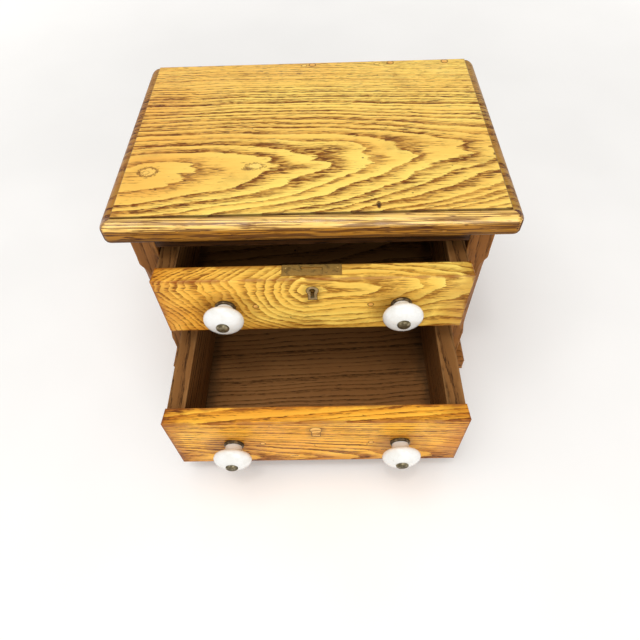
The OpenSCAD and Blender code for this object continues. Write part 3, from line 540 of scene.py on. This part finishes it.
def varnish_and_shade_end(left_x, reach, amber):
    """The left end of a board, darker and redder: the old varnish lies thickest there and has gone redder, and
    part of it is painted shade.
    """
    def mark(tree, here, colour, height):
        along = add(tree, "SeparateXYZ", {0: here}).outputs[0]
        thick = calc(tree, "SUBTRACT", 1.0, ramp(tree, along, left_x, left_x + reach))
        thick = calc(tree, "MULTIPLY", thick, 0.8)
        return blend(tree, thick, colour, amber, "MULTIPLY"), height
    return mark


raw_from, raw_to = top_high.y - 0.0012, top_high.y - 0.0004
raw_shade = (0.5, 0.42, 0.4, 1.0)


def raw_back_edge(tree, here, colour, height):
    """The back edge stood against a wall, and was never varnished."""
    depth = add(tree, "SeparateXYZ", {0: here}).outputs[1]
    return blend(tree, ramp(tree, depth, raw_from, raw_to), colour, raw_shade, "MULTIPLY"), height


top_stain = {
    "warm": paint(240, 171, 69), "pale": paint(255, 233, 118), "golden": paint(255, 202, 92),
    "dark": paint(128, 67, 2), "worn": paint(190, 132, 60),
}
knot_brown = paint(120, 76, 24)
knot_gold = paint(255, 218, 116)
top_varnish_and_shade = (0.92, 0.76, 0.66, 1.0)
top_dark_end_l = 0.08
knot = [
    scar((-0.129, -0.053, top_high.z), (0.0066, 0.0052, 0.02), knot_gold, knot_brown, 0.8, 0.2, 1.1),
    scar((-0.1305, -0.0537, top_high.z), (0.0026, 0.0018, 0.02), knot_gold, knot_brown, 0.5, 0.2, 1.4),
]
gnarl = [
    scar((-0.044, -0.049, top_high.z), (0.0064, 0.0034, 0.02), knot_gold, knot_brown, 0.7, 0.4, 1.7),
    scar((-0.050, -0.052, top_high.z), (0.0034, 0.0015, 0.02), knot_brown, knot_brown, 0.7, 0.4, 1.7),
    scar((-0.038, -0.047, top_high.z), (0.0022, 0.0010, 0.02), knot_brown, knot_gold, 0.6, 0.4, 1.4),
]
dent_place = (0.051, -0.0975, top_high.z)
dent_half, dent_stain_half = (0.0012, 0.0032, 0.001), (0.0015, 0.0032, 0.02)
waxed_dent = scar(dent_place, dent_stain_half, wax, knot_brown, 0.95, 3.0, 0.5)
# Thick old varnish together with painted shade at the left end of the top.
left_varnish_and_shade = varnish_and_shade_end(-field_x, top_dark_end_l, top_varnish_and_shade)
top_marks = knot + gnarl + [waxed_dent, left_varnish_and_shade, waxed_moulding, raw_back_edge]
top_plug_xs, top_plug_inset, top_plug_half = (0.001, 0.076, 0.128), 0.004, (0.0029, 0.0029, 0.02)
for x in top_plug_xs:
    plug_place = (x, top_high.y - top_plug_inset, top_high.z)
    top_marks.append(scar(plug_place, top_plug_half, knot_brown, knot_brown, 0.85, 0.0, 0.4))
filled_xs, filled_inset, filled_half = (-0.007, 0.063), 0.005, (0.0024, 0.0018, 0.02)
for x in filled_xs:
    filled_place = (x, top_high.y - filled_inset, top_high.z)
    top_marks.append(scar(filled_place, filled_half, knot_gold, knot_brown, 0.7, 0.2, 0.8))
top_rings = rings(
    31.0, (-0.135, -0.060, top_high.z - 0.002), (-0.25, 0.2), 0.013, crowding=10.0, waver=0.010, lobes=0.016,
    ragged=0.0024, fade=1.0, calm=0.085, broad=0.012, turn=0.12, clean=0.35,
)
top_oak = oak(
    "top_oak", "top_board", "xyz", top_rings, top_stain, wear=0.3, roughness=0.42, coat=0.15, marks=top_marks,
    polish=polished_moulding,
)
corner_r = 0.007
corner_steps = 4


def round_front_corners(shape):
    """Both front corners of the top brought in from their mitres to an even round."""
    centre_x, centre_y = top_high.x - corner_r, top_low.y + corner_r
    for step in range(corner_steps):
        inset = step * corner_r / corner_steps
        for sign in (-1, 1):
            everything = shape.verts[:] + shape.edges[:] + shape.faces[:]
            bmesh.ops.bisect_plane(
                shape, geom=everything, plane_co=(sign * (centre_x + inset), 0, 0), plane_no=(1, 0, 0),
            )
        everything = shape.verts[:] + shape.edges[:] + shape.faces[:]
        bmesh.ops.bisect_plane(shape, geom=everything, plane_co=(0, centre_y - inset, 0), plane_no=(0, 1, 0))
    for vert in shape.verts:
        out_x, out_y = abs(vert.co.x) - centre_x, centre_y - vert.co.y
        if out_x > 0 and out_y > 0:
            pull = max(out_x, out_y) / math.hypot(out_x, out_y)
            vert.co.x = math.copysign(centre_x + out_x * pull, vert.co.x)
            vert.co.y = centre_y - out_y * pull


top = ease_board("top_board", top_oak, 0.0008, round_front_corners)


def knock(board, bites):
    """Bites out of a board, each an uneven hollow at a place with its half sizes, as knocks leave them."""
    uneven_share, uneven_pitch = 0.25, 900.0
    shape = bmesh.new()
    for place, half in bites:
        hollow = Matrix.Translation(place) @ Matrix.Diagonal((*half, 1.0))
        ball = bmesh.ops.create_icosphere(shape, subdivisions=2, radius=1.0, matrix=hollow)
        for vert in ball["verts"]:
            uneven = 1.0 + uneven_share * noise.noise(vert.co * uneven_pitch)
            vert.co = Vector(place) + (vert.co - Vector(place)) * uneven
    for face in shape.faces:
        face.smooth = True
    cutter_mesh = bpy.data.meshes.new(board.name + "_knocks")
    shape.to_mesh(cutter_mesh)
    shape.free()
    cutter = bpy.data.objects.new(cutter_mesh.name, cutter_mesh)
    bpy.context.scene.collection.objects.link(cutter)
    cut = board.modifiers.new("knocks", "BOOLEAN")
    cut.object = cutter
    cut.operation = "DIFFERENCE"
    cut.solver = "EXACT"
    cut.use_self = True
    board.modifiers.move(len(board.modifiers) - 1, 0)
    flat = board.modifiers["flat_faces"]
    flat.show_viewport = False
    bitten = bpy.data.meshes.new_from_object(board.evaluated_get(bpy.context.evaluated_depsgraph_get()))
    flat.show_viewport = True
    board.modifiers.remove(cut)
    board.data = bitten
    bpy.data.objects.remove(cutter)


dice = random.Random(4)
front_bites, end_bites = 9, 3
bite_x, bite_drop = 0.15, (0.007, 0.014)
bite_l, bite_d, bite_h, end_bite_d = (0.001, 0.003), (0.0003, 0.0006), 0.0009, 0.0005
corner_rise, corner_half = (0.004, 0.01), (0.0014, 0.0014, 0.0012)
nose_bites = []
for _ in range(front_bites):
    nose_place = (dice.uniform(-bite_x, bite_x), top_low.y, top_high.z - dice.uniform(*bite_drop))
    nose_bites.append((nose_place, (dice.uniform(*bite_l), dice.uniform(*bite_d), bite_h)))
for end_x in (top_low.x, top_high.x):
    for _ in range(end_bites):
        end_place = (end_x, dice.uniform(top_low.y, top_high.y), top_high.z - dice.uniform(*bite_drop))
        nose_bites.append((end_place, (end_bite_d, dice.uniform(*bite_l), bite_h)))
    nose_bites.append(((end_x, top_low.y, top_low.z + dice.uniform(*corner_rise)), corner_half))
knock(top, nose_bites + [(dent_place, dent_half)])


# Carcass fastenings
# Steel wood screws hold the top and the base; cut nails hold the back panel and the runners.
# Three old holes along the back edge of the top are stopped with turned oak plugs.

def old_iron(name, bright, rust, share):
    """Dark iron with rust bloom where the damp got to it."""
    material, tree, shader, here = new_finish(name)
    bloom = add(tree, "TexNoise", {"Vector": here, "Scale": 420.0, "Detail": 5.0}).outputs[0]
    bloom = ramp(tree, bloom, 0.62 - share, 0.82 - share)
    tree.links.new(blend(tree, bloom, bright, rust), shader.inputs["Base Color"])
    tree.links.new(ramp(tree, bloom, 0.0, 1.0, 0.38, 0.85), shader.inputs["Roughness"])
    tree.links.new(ramp(tree, bloom, 0.0, 1.0, 0.9, 0.1), shader.inputs["Metallic"])
    bump = add(tree, "Bump", {"Strength": 0.4, "Distance": 0.0003, "Height": bloom})
    tree.links.new(bump.outputs["Normal"], shader.inputs["Normal"])
    return material


def finish_node(node, material):
    """A CAD piece kept as it is, in its real finish."""
    finishes = frame["nodes"][node].data.materials
    finishes.clear()
    finishes.append(material)


screw_iron = old_iron("screw_iron", paint(120, 112, 104), paint(92, 58, 36), 0.2)
for node in ("top_screws", "base_screws", "back_nails", "runner_nails"):
    finish_node(node, screw_iron)

plug_stain = {
    "warm": paint(222, 152, 66), "pale": paint(250, 206, 118), "golden": paint(240, 186, 96),
    "dark": paint(190, 122, 46), "worn": paint(176, 112, 44),
}
plug_rings = rings(37.0, (0.0, 0.0, 0.0), (0.1, 0.1), 0.003, fade=0.5)
plug_oak = oak("plug_oak", "top_plugs", "xzy", plug_rings, plug_stain, wear=0.0)
finish_node("top_plugs", plug_oak)


# Drawer boxes
# Sides and backs of plain oak, dovetailed at the front and nailed at the back, never varnished.
# The bottom is one thin board slid into grooves in the sides and nailed up into the back.

drawer_stain = {
    "warm": paint(104, 67, 31), "pale": paint(137, 95, 51), "golden": paint(121, 80, 40),
    "dark": paint(72, 44, 17), "worn": paint(156, 114, 68),
}
bottom_stain = {
    "warm": paint(132, 86, 44), "pale": paint(160, 114, 66), "golden": paint(148, 102, 56),
    "dark": paint(104, 68, 32), "worn": paint(170, 128, 82),
}
drip_pale = paint(206, 170, 122)
dust_and_shade_brown = paint(62, 44, 26)


def dust_and_shade_corners(piece):
    """Dirt that a cloth never reached, with painted shade in the corners, along the foot of the drawer's sides,
    front and back.
    """
    low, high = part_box(piece)
    groove = 0.006

    def mark(tree, here, colour, height):
        x, y, _ = add(tree, "SeparateXYZ", {0: here}).outputs
        from_side = calc(tree, "SUBTRACT", high.x - groove, calc(tree, "ABSOLUTE", x))
        from_front = calc(tree, "SUBTRACT", y, low.y + groove)
        from_back = calc(tree, "SUBTRACT", high.y - 2 * groove, y)
        inset = calc(tree, "MINIMUM", from_side, calc(tree, "MINIMUM", from_front, from_back))
        drift = add(tree, "TexNoise", {"Vector": here, "Scale": 55.0, "Detail": 5.0}).outputs[0]
        reach = ramp(tree, drift, 0.3, 0.7, 0.003, 0.02)
        # Dirt and painted shade: darker near where the bottom meets the sides, front and back.
        darkening = calc(tree, "SUBTRACT", 1.0, ramp(tree, inset, 0.0, reach))
        return blend(tree, calc(tree, "MULTIPLY", darkening, 0.6), colour, dust_and_shade_brown), height
    return mark


for drawer, seed in (("upper", 41.0), ("lower", 53.0)):
    for side, shift in (("left", 0.0), ("right", 2.0)):
        node = f"{drawer}_{side}_side"
        side_rings = rings(seed + shift, (0.0, 0.3, 0.0), (0.05, 0.05), 0.0045)
        side_oak = oak(node + "_oak", node, "yzx", side_rings, drawer_stain, roughness=0.7)
        ease_board(node, side_oak, 0.0005)
    node = f"{drawer}_back"
    back_rings = rings(seed + 4.0, (0.0, 0.0, 0.2), (0.04, 0.04), 0.0045)
    back_oak = oak(node + "_oak", node, "xzy", back_rings, drawer_stain, roughness=0.7)
    ease_board(node, back_oak, 0.0005)
    node = f"{drawer}_bottom"
    bottom_rings = rings(seed + 6.0, (0.0, 0.0, -0.08), (0.05, 0.05), 0.004)
    low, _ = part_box(node)
    drip_y, drip_w, drip_h = low.y + 0.012, 0.0016, 0.002
    drips = [
        scar((x, drip_y, low.z), (drip_w, reach, drip_h), drip_pale, bottom_stain["dark"], 0.6, -0.3)
        for x, reach in ((-0.006, 0.036), (0.004, 0.048))
    ]
    bottom_marks = [dust_and_shade_corners(node)] + (drips if drawer == "lower" else [])
    bottom_oak = oak(node + "_oak", node, "xyz", bottom_rings, bottom_stain, roughness=0.7, marks=bottom_marks)
    ease_board(node, bottom_oak, 0.0004)
    finish_node(f"{drawer}_nails", screw_iron)


# Drawer fronts
# Thick oak fronts with half-blind dovetail sockets in their ends, varnished golden like the top.
# The upper one is cut across a swirl by the keyhole; the lower one is nearly straight-grained.

front_stain = {
    "warm": paint(250, 182, 66), "pale": paint(255, 234, 122), "golden": paint(255, 208, 92),
    "dark": paint(140, 74, 6), "worn": paint(140, 76, 14),
}
lower_stain = {
    **front_stain,
    "warm": paint(230, 144, 32), "pale": paint(255, 208, 76), "golden": paint(244, 164, 42),
    "dark": paint(120, 60, 2),
}
# Thick old varnish together with painted shade at the left end of the upper front.
front_varnish_and_shade = (0.98, 0.7, 0.38, 1.0)
front_dark_end_l = 0.13
run_shade = (0.6, 0.42, 0.24, 1.0)
chip_pale = paint(236, 190, 120)
chip_dark = paint(96, 54, 18)
upper_low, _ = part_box("upper_front")
lower_low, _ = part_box("lower_front")
upper_rings = rings(
    61.0, (-0.008, 0.167, upper_low.y - 0.011), (-0.75, 0.16), 0.0066, crowding=3.0, waver=0.026,
    lobes=0.012, ragged=0.0014, fade=0.8,
)
lower_rings = rings(
    67.0, (-0.03, lower_low.z + 0.010, lower_low.y + 0.045), (-0.08, -0.08), 0.0029, waver=0.005, lobes=0.003,
    ragged=0.001, fade=0.82,
)


def keyhole_line(piece, dark):
    """The dark joint round what fills a keyhole: a round head over a straight stem."""
    low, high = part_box(piece)
    head_w, stem_w = 0.0092, 0.0066
    line_w, line_reach, grime_w, grime_reach = 0.0002, 0.0008, 0.0005, 0.006
    head_r = head_w / 2
    head_z = high.z - head_r

    def mark(tree, here, colour, height):
        x, _, z = add(tree, "SeparateXYZ", {0: here}).outputs
        side = calc(tree, "ABSOLUTE", x)
        up = calc(tree, "SUBTRACT", z, head_z)
        span = calc(tree, "MULTIPLY_ADD", x, x, calc(tree, "MULTIPLY", up, up))
        head = calc(tree, "SUBTRACT", calc(tree, "SQRT", span), head_r)
        below = calc(tree, "MAXIMUM", up, calc(tree, "SUBTRACT", low.z, z))
        stem = calc(tree, "MAXIMUM", calc(tree, "SUBTRACT", side, stem_w / 2), below)
        gap = calc(tree, "MINIMUM", head, stem)
        line = calc(tree, "SUBTRACT", 1.0, ramp(tree, gap, line_w, line_reach))
        grime = calc(tree, "SUBTRACT", 1.0, ramp(tree, gap, grime_w, grime_reach))
        colour = blend(tree, calc(tree, "MULTIPLY", grime, 0.35), colour, dark)
        return blend(tree, calc(tree, "MULTIPLY", line, 0.9), colour, deeper(dark, 0.4)), height
    return mark


def stained_ends(piece):
    """Varnish that ran thick and went dark towards the ends and along the lower edge."""
    low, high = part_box(piece)

    def mark(tree, here, colour, height):
        x, _, z = add(tree, "SeparateXYZ", {0: here}).outputs
        foot_share = 2.5
        from_end = calc(tree, "SUBTRACT", high.x, calc(tree, "ABSOLUTE", x))
        from_foot = calc(tree, "MULTIPLY", calc(tree, "SUBTRACT", z, low.z), foot_share)
        inset = calc(tree, "MINIMUM", from_end, from_foot)
        runs = add(tree, "TexNoise", {"Vector": here, "Scale": 30.0, "Detail": 4.0}).outputs[0]
        reach = ramp(tree, runs, 0.3, 0.7, 0.01, 0.06)
        thick = calc(tree, "SUBTRACT", 1.0, ramp(tree, inset, 0.0, reach))
        thick = calc(tree, "MULTIPLY", thick, 0.75)
        return blend(tree, thick, colour, run_shade, "MULTIPLY"), height
    return mark


knob_x, plug_x = 0.0705, 0.046
chip_half, chip_stain_half = (0.0036, 0.0006, 0.001), (0.0036, 0.01, 0.001)
plug_half = (0.0022, 0.01, 0.0022)
knob_shadow_and_grime_half, knob_shadow_and_grime_drop = (0.021, 0.01, 0.019), 0.006
upper_chips = [(-0.065, 0.048), (0.06, 0.048)]
lower_chips = [(-0.064, 0.055), (0.06, 0.055)]
lower_holes = [(-0.02, 0.066)]
edge_bites, at_foot = 16, 0.7
edge_bite_l, edge_bite_d, side_bite_d = (0.001, 0.0035), (0.0007, 0.001), 0.0009
split_x, split_half = -0.085, (0.03, 0.0013, 0.0016)
for node, front_rings, stain, contrast, filler, knob_drop, chips, dark_chips in (
    ("upper_front", upper_rings, front_stain, 0.72, "keyhole_insert", 0.032, upper_chips, []),
    ("lower_front", lower_rings, lower_stain, 0.95, "keyhole_plug", 0.039, lower_chips, lower_holes),
):
    low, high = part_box(node)
    marks = [stained_ends(node), keyhole_line(filler, chip_dark)]
    if node == "upper_front":
        marks.insert(0, varnish_and_shade_end(low.x, front_dark_end_l, front_varnish_and_shade))
    bites = []
    for x, drop in chips + dark_chips:
        inside, rim = (chip_pale, chip_dark) if (x, drop) in chips else (chip_dark, chip_pale)
        place = (x, low.y, high.z - drop)
        marks.append(scar(place, chip_stain_half, inside, rim, 0.85, 0.5))
        bites.append((place, chip_half))
    for x in (-plug_x, plug_x):
        place = (x, low.y, (low.z + high.z) / 2)
        marks.append(scar(place, plug_half, chip_dark, chip_dark, 0.7, 0.0, 0.4))
    # Painted shadow with some handling grime: a faint worn-coloured patch just below each knob.
    for x in (-knob_x, knob_x):
        knob_shadow_and_grime_place = (x, low.y, high.z - knob_drop - knob_shadow_and_grime_drop)
        marks.append(scar(knob_shadow_and_grime_place, knob_shadow_and_grime_half, front_stain["worn"], front_stain["worn"], 0.3, 0.0, 0.5))
    for _ in range(edge_bites):
        edge_z = low.z if dice.random() < at_foot else high.z
        place = (dice.uniform(low.x, high.x), low.y, edge_z)
        half = (dice.uniform(*edge_bite_l), dice.uniform(*edge_bite_d), dice.uniform(*edge_bite_d))
        bites.append((place, half))
    for end_x in (low.x, high.x):
        for _ in range(end_bites):
            place = (end_x, low.y, dice.uniform(low.z, high.z))
            bites.append((place, (side_bite_d, side_bite_d, dice.uniform(*bite_l))))
    if node == "lower_front":
        bites.append(((split_x, low.y, low.z), split_half))
    front_oak = oak(
        node + "_oak", node, "xzy", front_rings, stain, contrast, wear=0.75, reach=0.0035, roughness=0.4,
        coat=0.12, marks=marks,
    )
    front = ease_board(node, front_oak, 0.0005)
    knock(front, bites)
for node in ("upper_front_plugs", "lower_front_plugs", "keyhole_plug"):
    finish_node(node, plug_oak)


# Knobs
# Glazed white porcelain turned like a small mushroom, each clamped by one bolt with a domed bronzed head.
# A thin metal collar seats it on the front; a washer and a square nut hold the bolt inside the drawer.

glaze_white, glaze_cream = paint(236, 237, 236), paint(229, 229, 225)
craze_brown, speck_brown = paint(176, 160, 132), paint(126, 96, 60)
porcelain, glaze, shader, here = new_finish("porcelain")
craze = add(glaze, "TexVoronoi", {"Vector": here, "Scale": 260.0}, feature="DISTANCE_TO_EDGE").outputs["Distance"]
craze = calc(glaze, "SUBTRACT", 1.0, ramp(glaze, craze, 0.0, 0.035))
cloud = add(glaze, "TexNoise", {"Vector": here, "Scale": 120.0, "Detail": 3.0}).outputs[0]
body_white = blend(glaze, ramp(glaze, cloud, 0.35, 0.7), glaze_white, glaze_cream)
body_white = blend(glaze, calc(glaze, "MULTIPLY", craze, 0.1), body_white, craze_brown)
specks = add(glaze, "TexVoronoi", {"Vector": here, "Scale": 190.0})
kept = calc(glaze, "GREATER_THAN", add(glaze, "SeparateColor", {0: specks.outputs["Color"]}).outputs[0], 0.9)
dot = calc(glaze, "SUBTRACT", 1.0, ramp(glaze, specks.outputs["Distance"], 0.05, 0.1))
speck = calc(glaze, "MULTIPLY", kept, dot)
body_white = blend(glaze, calc(glaze, "MULTIPLY", speck, 0.6), body_white, speck_brown)
glaze.links.new(body_white, shader.inputs["Base Color"])
glaze.links.new(ramp(glaze, cloud, 0.3, 0.7, 0.06, 0.14), shader.inputs["Roughness"])
ripple = add(glaze, "TexNoise", {"Vector": here, "Scale": 90.0, "Detail": 1.0}).outputs[0]
bump = add(glaze, "Bump", {"Strength": 0.08, "Distance": 0.0006, "Height": ripple})
glaze.links.new(bump.outputs["Normal"], shader.inputs["Normal"])
shader.inputs["Coat Weight"].default_value = 0.5
shader.inputs["Coat Roughness"].default_value = 0.04


def bronze(name, brown, rubbed, metal):
    """Browned metal whose high spots are rubbed bright."""
    material, tree, shader, here = new_finish(name)
    patches = add(tree, "TexNoise", {"Vector": here, "Scale": 300.0, "Detail": 4.0}).outputs[0]
    rub = ramp(tree, patches, 0.42, 0.68)
    pits = add(tree, "TexNoise", {"Vector": here, "Scale": 1500.0, "Detail": 2.0}).outputs[0]
    colour = blend(tree, rub, brown, rubbed)
    colour = blend(tree, ramp(tree, pits, 0.64, 0.8), colour, deeper(brown, 0.5))
    tree.links.new(colour, shader.inputs["Base Color"])
    tree.links.new(ramp(tree, rub, 0.0, 1.0, 0.52, 0.3), shader.inputs["Roughness"])
    shader.inputs["Metallic"].default_value = metal
    height = calc(tree, "MULTIPLY_ADD", pits, -0.6, calc(tree, "MULTIPLY", patches, 0.6))
    bump = add(tree, "Bump", {"Strength": 0.2, "Distance": 0.0003, "Height": height})
    tree.links.new(bump.outputs["Normal"], shader.inputs["Normal"])
    return material


knob_bronze = bronze("knob_bronze", paint(84, 75, 54), paint(144, 134, 108), 0.85)
collar_bronze = bronze("collar_bronze", paint(78, 66, 48), paint(128, 112, 84), 0.85)
for drawer in ("upper", "lower"):
    finish_node(f"{drawer}_left_knob", porcelain)
    finish_node(f"{drawer}_right_knob", porcelain)
    finish_node(f"{drawer}_knob_bolts", knob_bronze)
    finish_node(f"{drawer}_collars", collar_bronze)
    finish_node(f"{drawer}_washers", collar_bronze)
    finish_node(f"{drawer}_nuts", screw_iron)


# Lock of the upper drawer
# A small cut lock screwed behind the front: brass plate and case, a sliding bolt, a post for the hollow key.
# A pressed brass keyhole lining is driven into the front. The lower drawer's lock is gone and its hole plugged.

lock_brass = bronze("lock_brass", paint(176, 140, 74), paint(204, 170, 100), 0.9)
insert_brass = bronze("insert_brass", paint(170, 148, 104), paint(222, 206, 164), 0.85)
for node in ("lock_plate", "lock_case", "lock_post", "lock_screws", "lock_bolt"):
    finish_node(node, lock_brass)
finish_node("keyhole_insert", insert_brass)


# Floor and backdrop
# A white table top and a warm white wall behind it.

warm_white = (1.0, 0.985, 0.96, 1.0)


def pale_stage(name, white, greyer):
    """A pale surface that takes the object's shadow and stays pale where the camera sees it bare."""
    material, tree, shader, here = new_finish(name)
    grain = add(tree, "TexNoise", {"Vector": here, "Scale": 6.0, "Detail": 2.0}).outputs[0]
    tree.links.new(blend(tree, ramp(tree, grain, 0.3, 0.7), white, greyer), shader.inputs["Base Color"])
    shader.inputs["Roughness"].default_value = 0.6
    rays = add(tree, "LightPath").outputs
    seen = calc(tree, "MAXIMUM", rays["Is Camera Ray"], rays["Is Glossy Ray"])
    seen = calc(tree, "MAXIMUM", seen, rays["Is Transmission Ray"])
    away = add(tree, "VectorMath", {0: here}, operation="LENGTH").outputs["Value"]
    glow = calc(tree, "MULTIPLY", seen, ramp(tree, away, 0.4, 1.6, 0.1, 0.5))
    tree.links.new(blend(tree, glow, (0, 0, 0, 1), warm_white), shader.inputs["Emission Color"])
    shader.inputs["Emission Strength"].default_value = 1.0
    return material


floor_mesh = bpy.data.meshes.new("floor")
floor_x, floor_front, floor_back, floor_z = 6.0, -6.0, 6.0, -0.0004
floor_mesh.from_pydata(
    [(-floor_x, floor_front, floor_z), (floor_x, floor_front, floor_z), (floor_x, floor_back, floor_z),
     (-floor_x, floor_back, floor_z)], [], [(0, 1, 2, 3)],
)
floor_mesh.materials.append(pale_stage("floor_white", paint(242, 242, 242), paint(238, 238, 238)))
floor = bpy.data.objects.new("floor", floor_mesh)
bpy.context.scene.collection.objects.link(floor)

world = bpy.data.worlds.new("room")
bpy.context.scene.world = world
world.use_nodes = True
sky = world.node_tree
wall_light = sky.nodes["Background"]
wall_light.inputs["Color"].default_value = warm_white
wall_light.inputs["Strength"].default_value = 0.5
wall_seen = add(sky, "Background", {"Color": (1.0, 0.975, 0.94, 1.0), "Strength": 1.0})
rays = add(sky, "LightPath").outputs
seen = calc(sky, "MAXIMUM", rays["Is Camera Ray"], rays["Is Glossy Ray"])
seen = calc(sky, "MAXIMUM", seen, rays["Is Transmission Ray"])
both = add(sky, "MixShader", {0: seen, 1: wall_light.outputs[0], 2: wall_seen.outputs[0]})
sky.links.new(both.outputs[0], sky.nodes["World Output"].inputs["Surface"])


# Lights
# One broad window light from above and a little to the left, one from the front that opens the shadows, and
# a small lamp overhead that draws the shine along the moulding and the arrises.

daylight = (1.0, 0.98, 0.95)
lamp_aim = Vector((0, -0.05, 0.1))


def soft_lamp(name, place, width, power):
    """A square daylight lamp, turned towards the cabinet."""
    light = bpy.data.lights.new(name, "AREA")
    light.shape = "SQUARE"
    light.size = width
    light.energy = power
    light.color = daylight
    lamp = bpy.data.objects.new(name, light)
    lamp.location = place
    lamp.rotation_euler = (lamp_aim - Vector(place)).to_track_quat("-Z", "Y").to_euler()
    bpy.context.scene.collection.objects.link(lamp)


soft_lamp("window", (-0.4, -0.4, 2.0), 1.6, 17.2)
soft_lamp("overhead", (-0.15, -0.6, 2.0), 0.25, 3.8)
soft_lamp("front_fill", (0.6, -1.9, 0.9), 1.2, 15.2)


# Camera
# Held above and in front of the cabinet, looking steeply down, a little tilted as in a hand-held picture.

eye = Vector((0.013502, -0.395168, 0.479687))
pitch, yaw, roll = 0.935, -0.033, -0.046
forward = Vector((math.sin(yaw) * math.cos(pitch), math.cos(yaw) * math.cos(pitch), -math.sin(pitch)))
level = Vector((math.cos(yaw), -math.sin(yaw), 0.0))
upright = level.cross(forward)
right = level * math.cos(roll) + upright * math.sin(roll)
up = upright * math.cos(roll) - level * math.sin(roll)
lens = bpy.data.cameras.new("camera")
lens.lens = 29.52
lens.sensor_width = 36.0
lens.sensor_fit = "HORIZONTAL"
lens.clip_start = 0.01
camera = bpy.data.objects.new("camera", lens)
camera.matrix_world = Matrix.Translation(eye) @ Matrix((right, up, -forward)).transposed().to_4x4()
bpy.context.scene.collection.objects.link(camera)
bpy.context.scene.camera = camera
bpy.context.scene.view_settings.view_transform = "Standard"
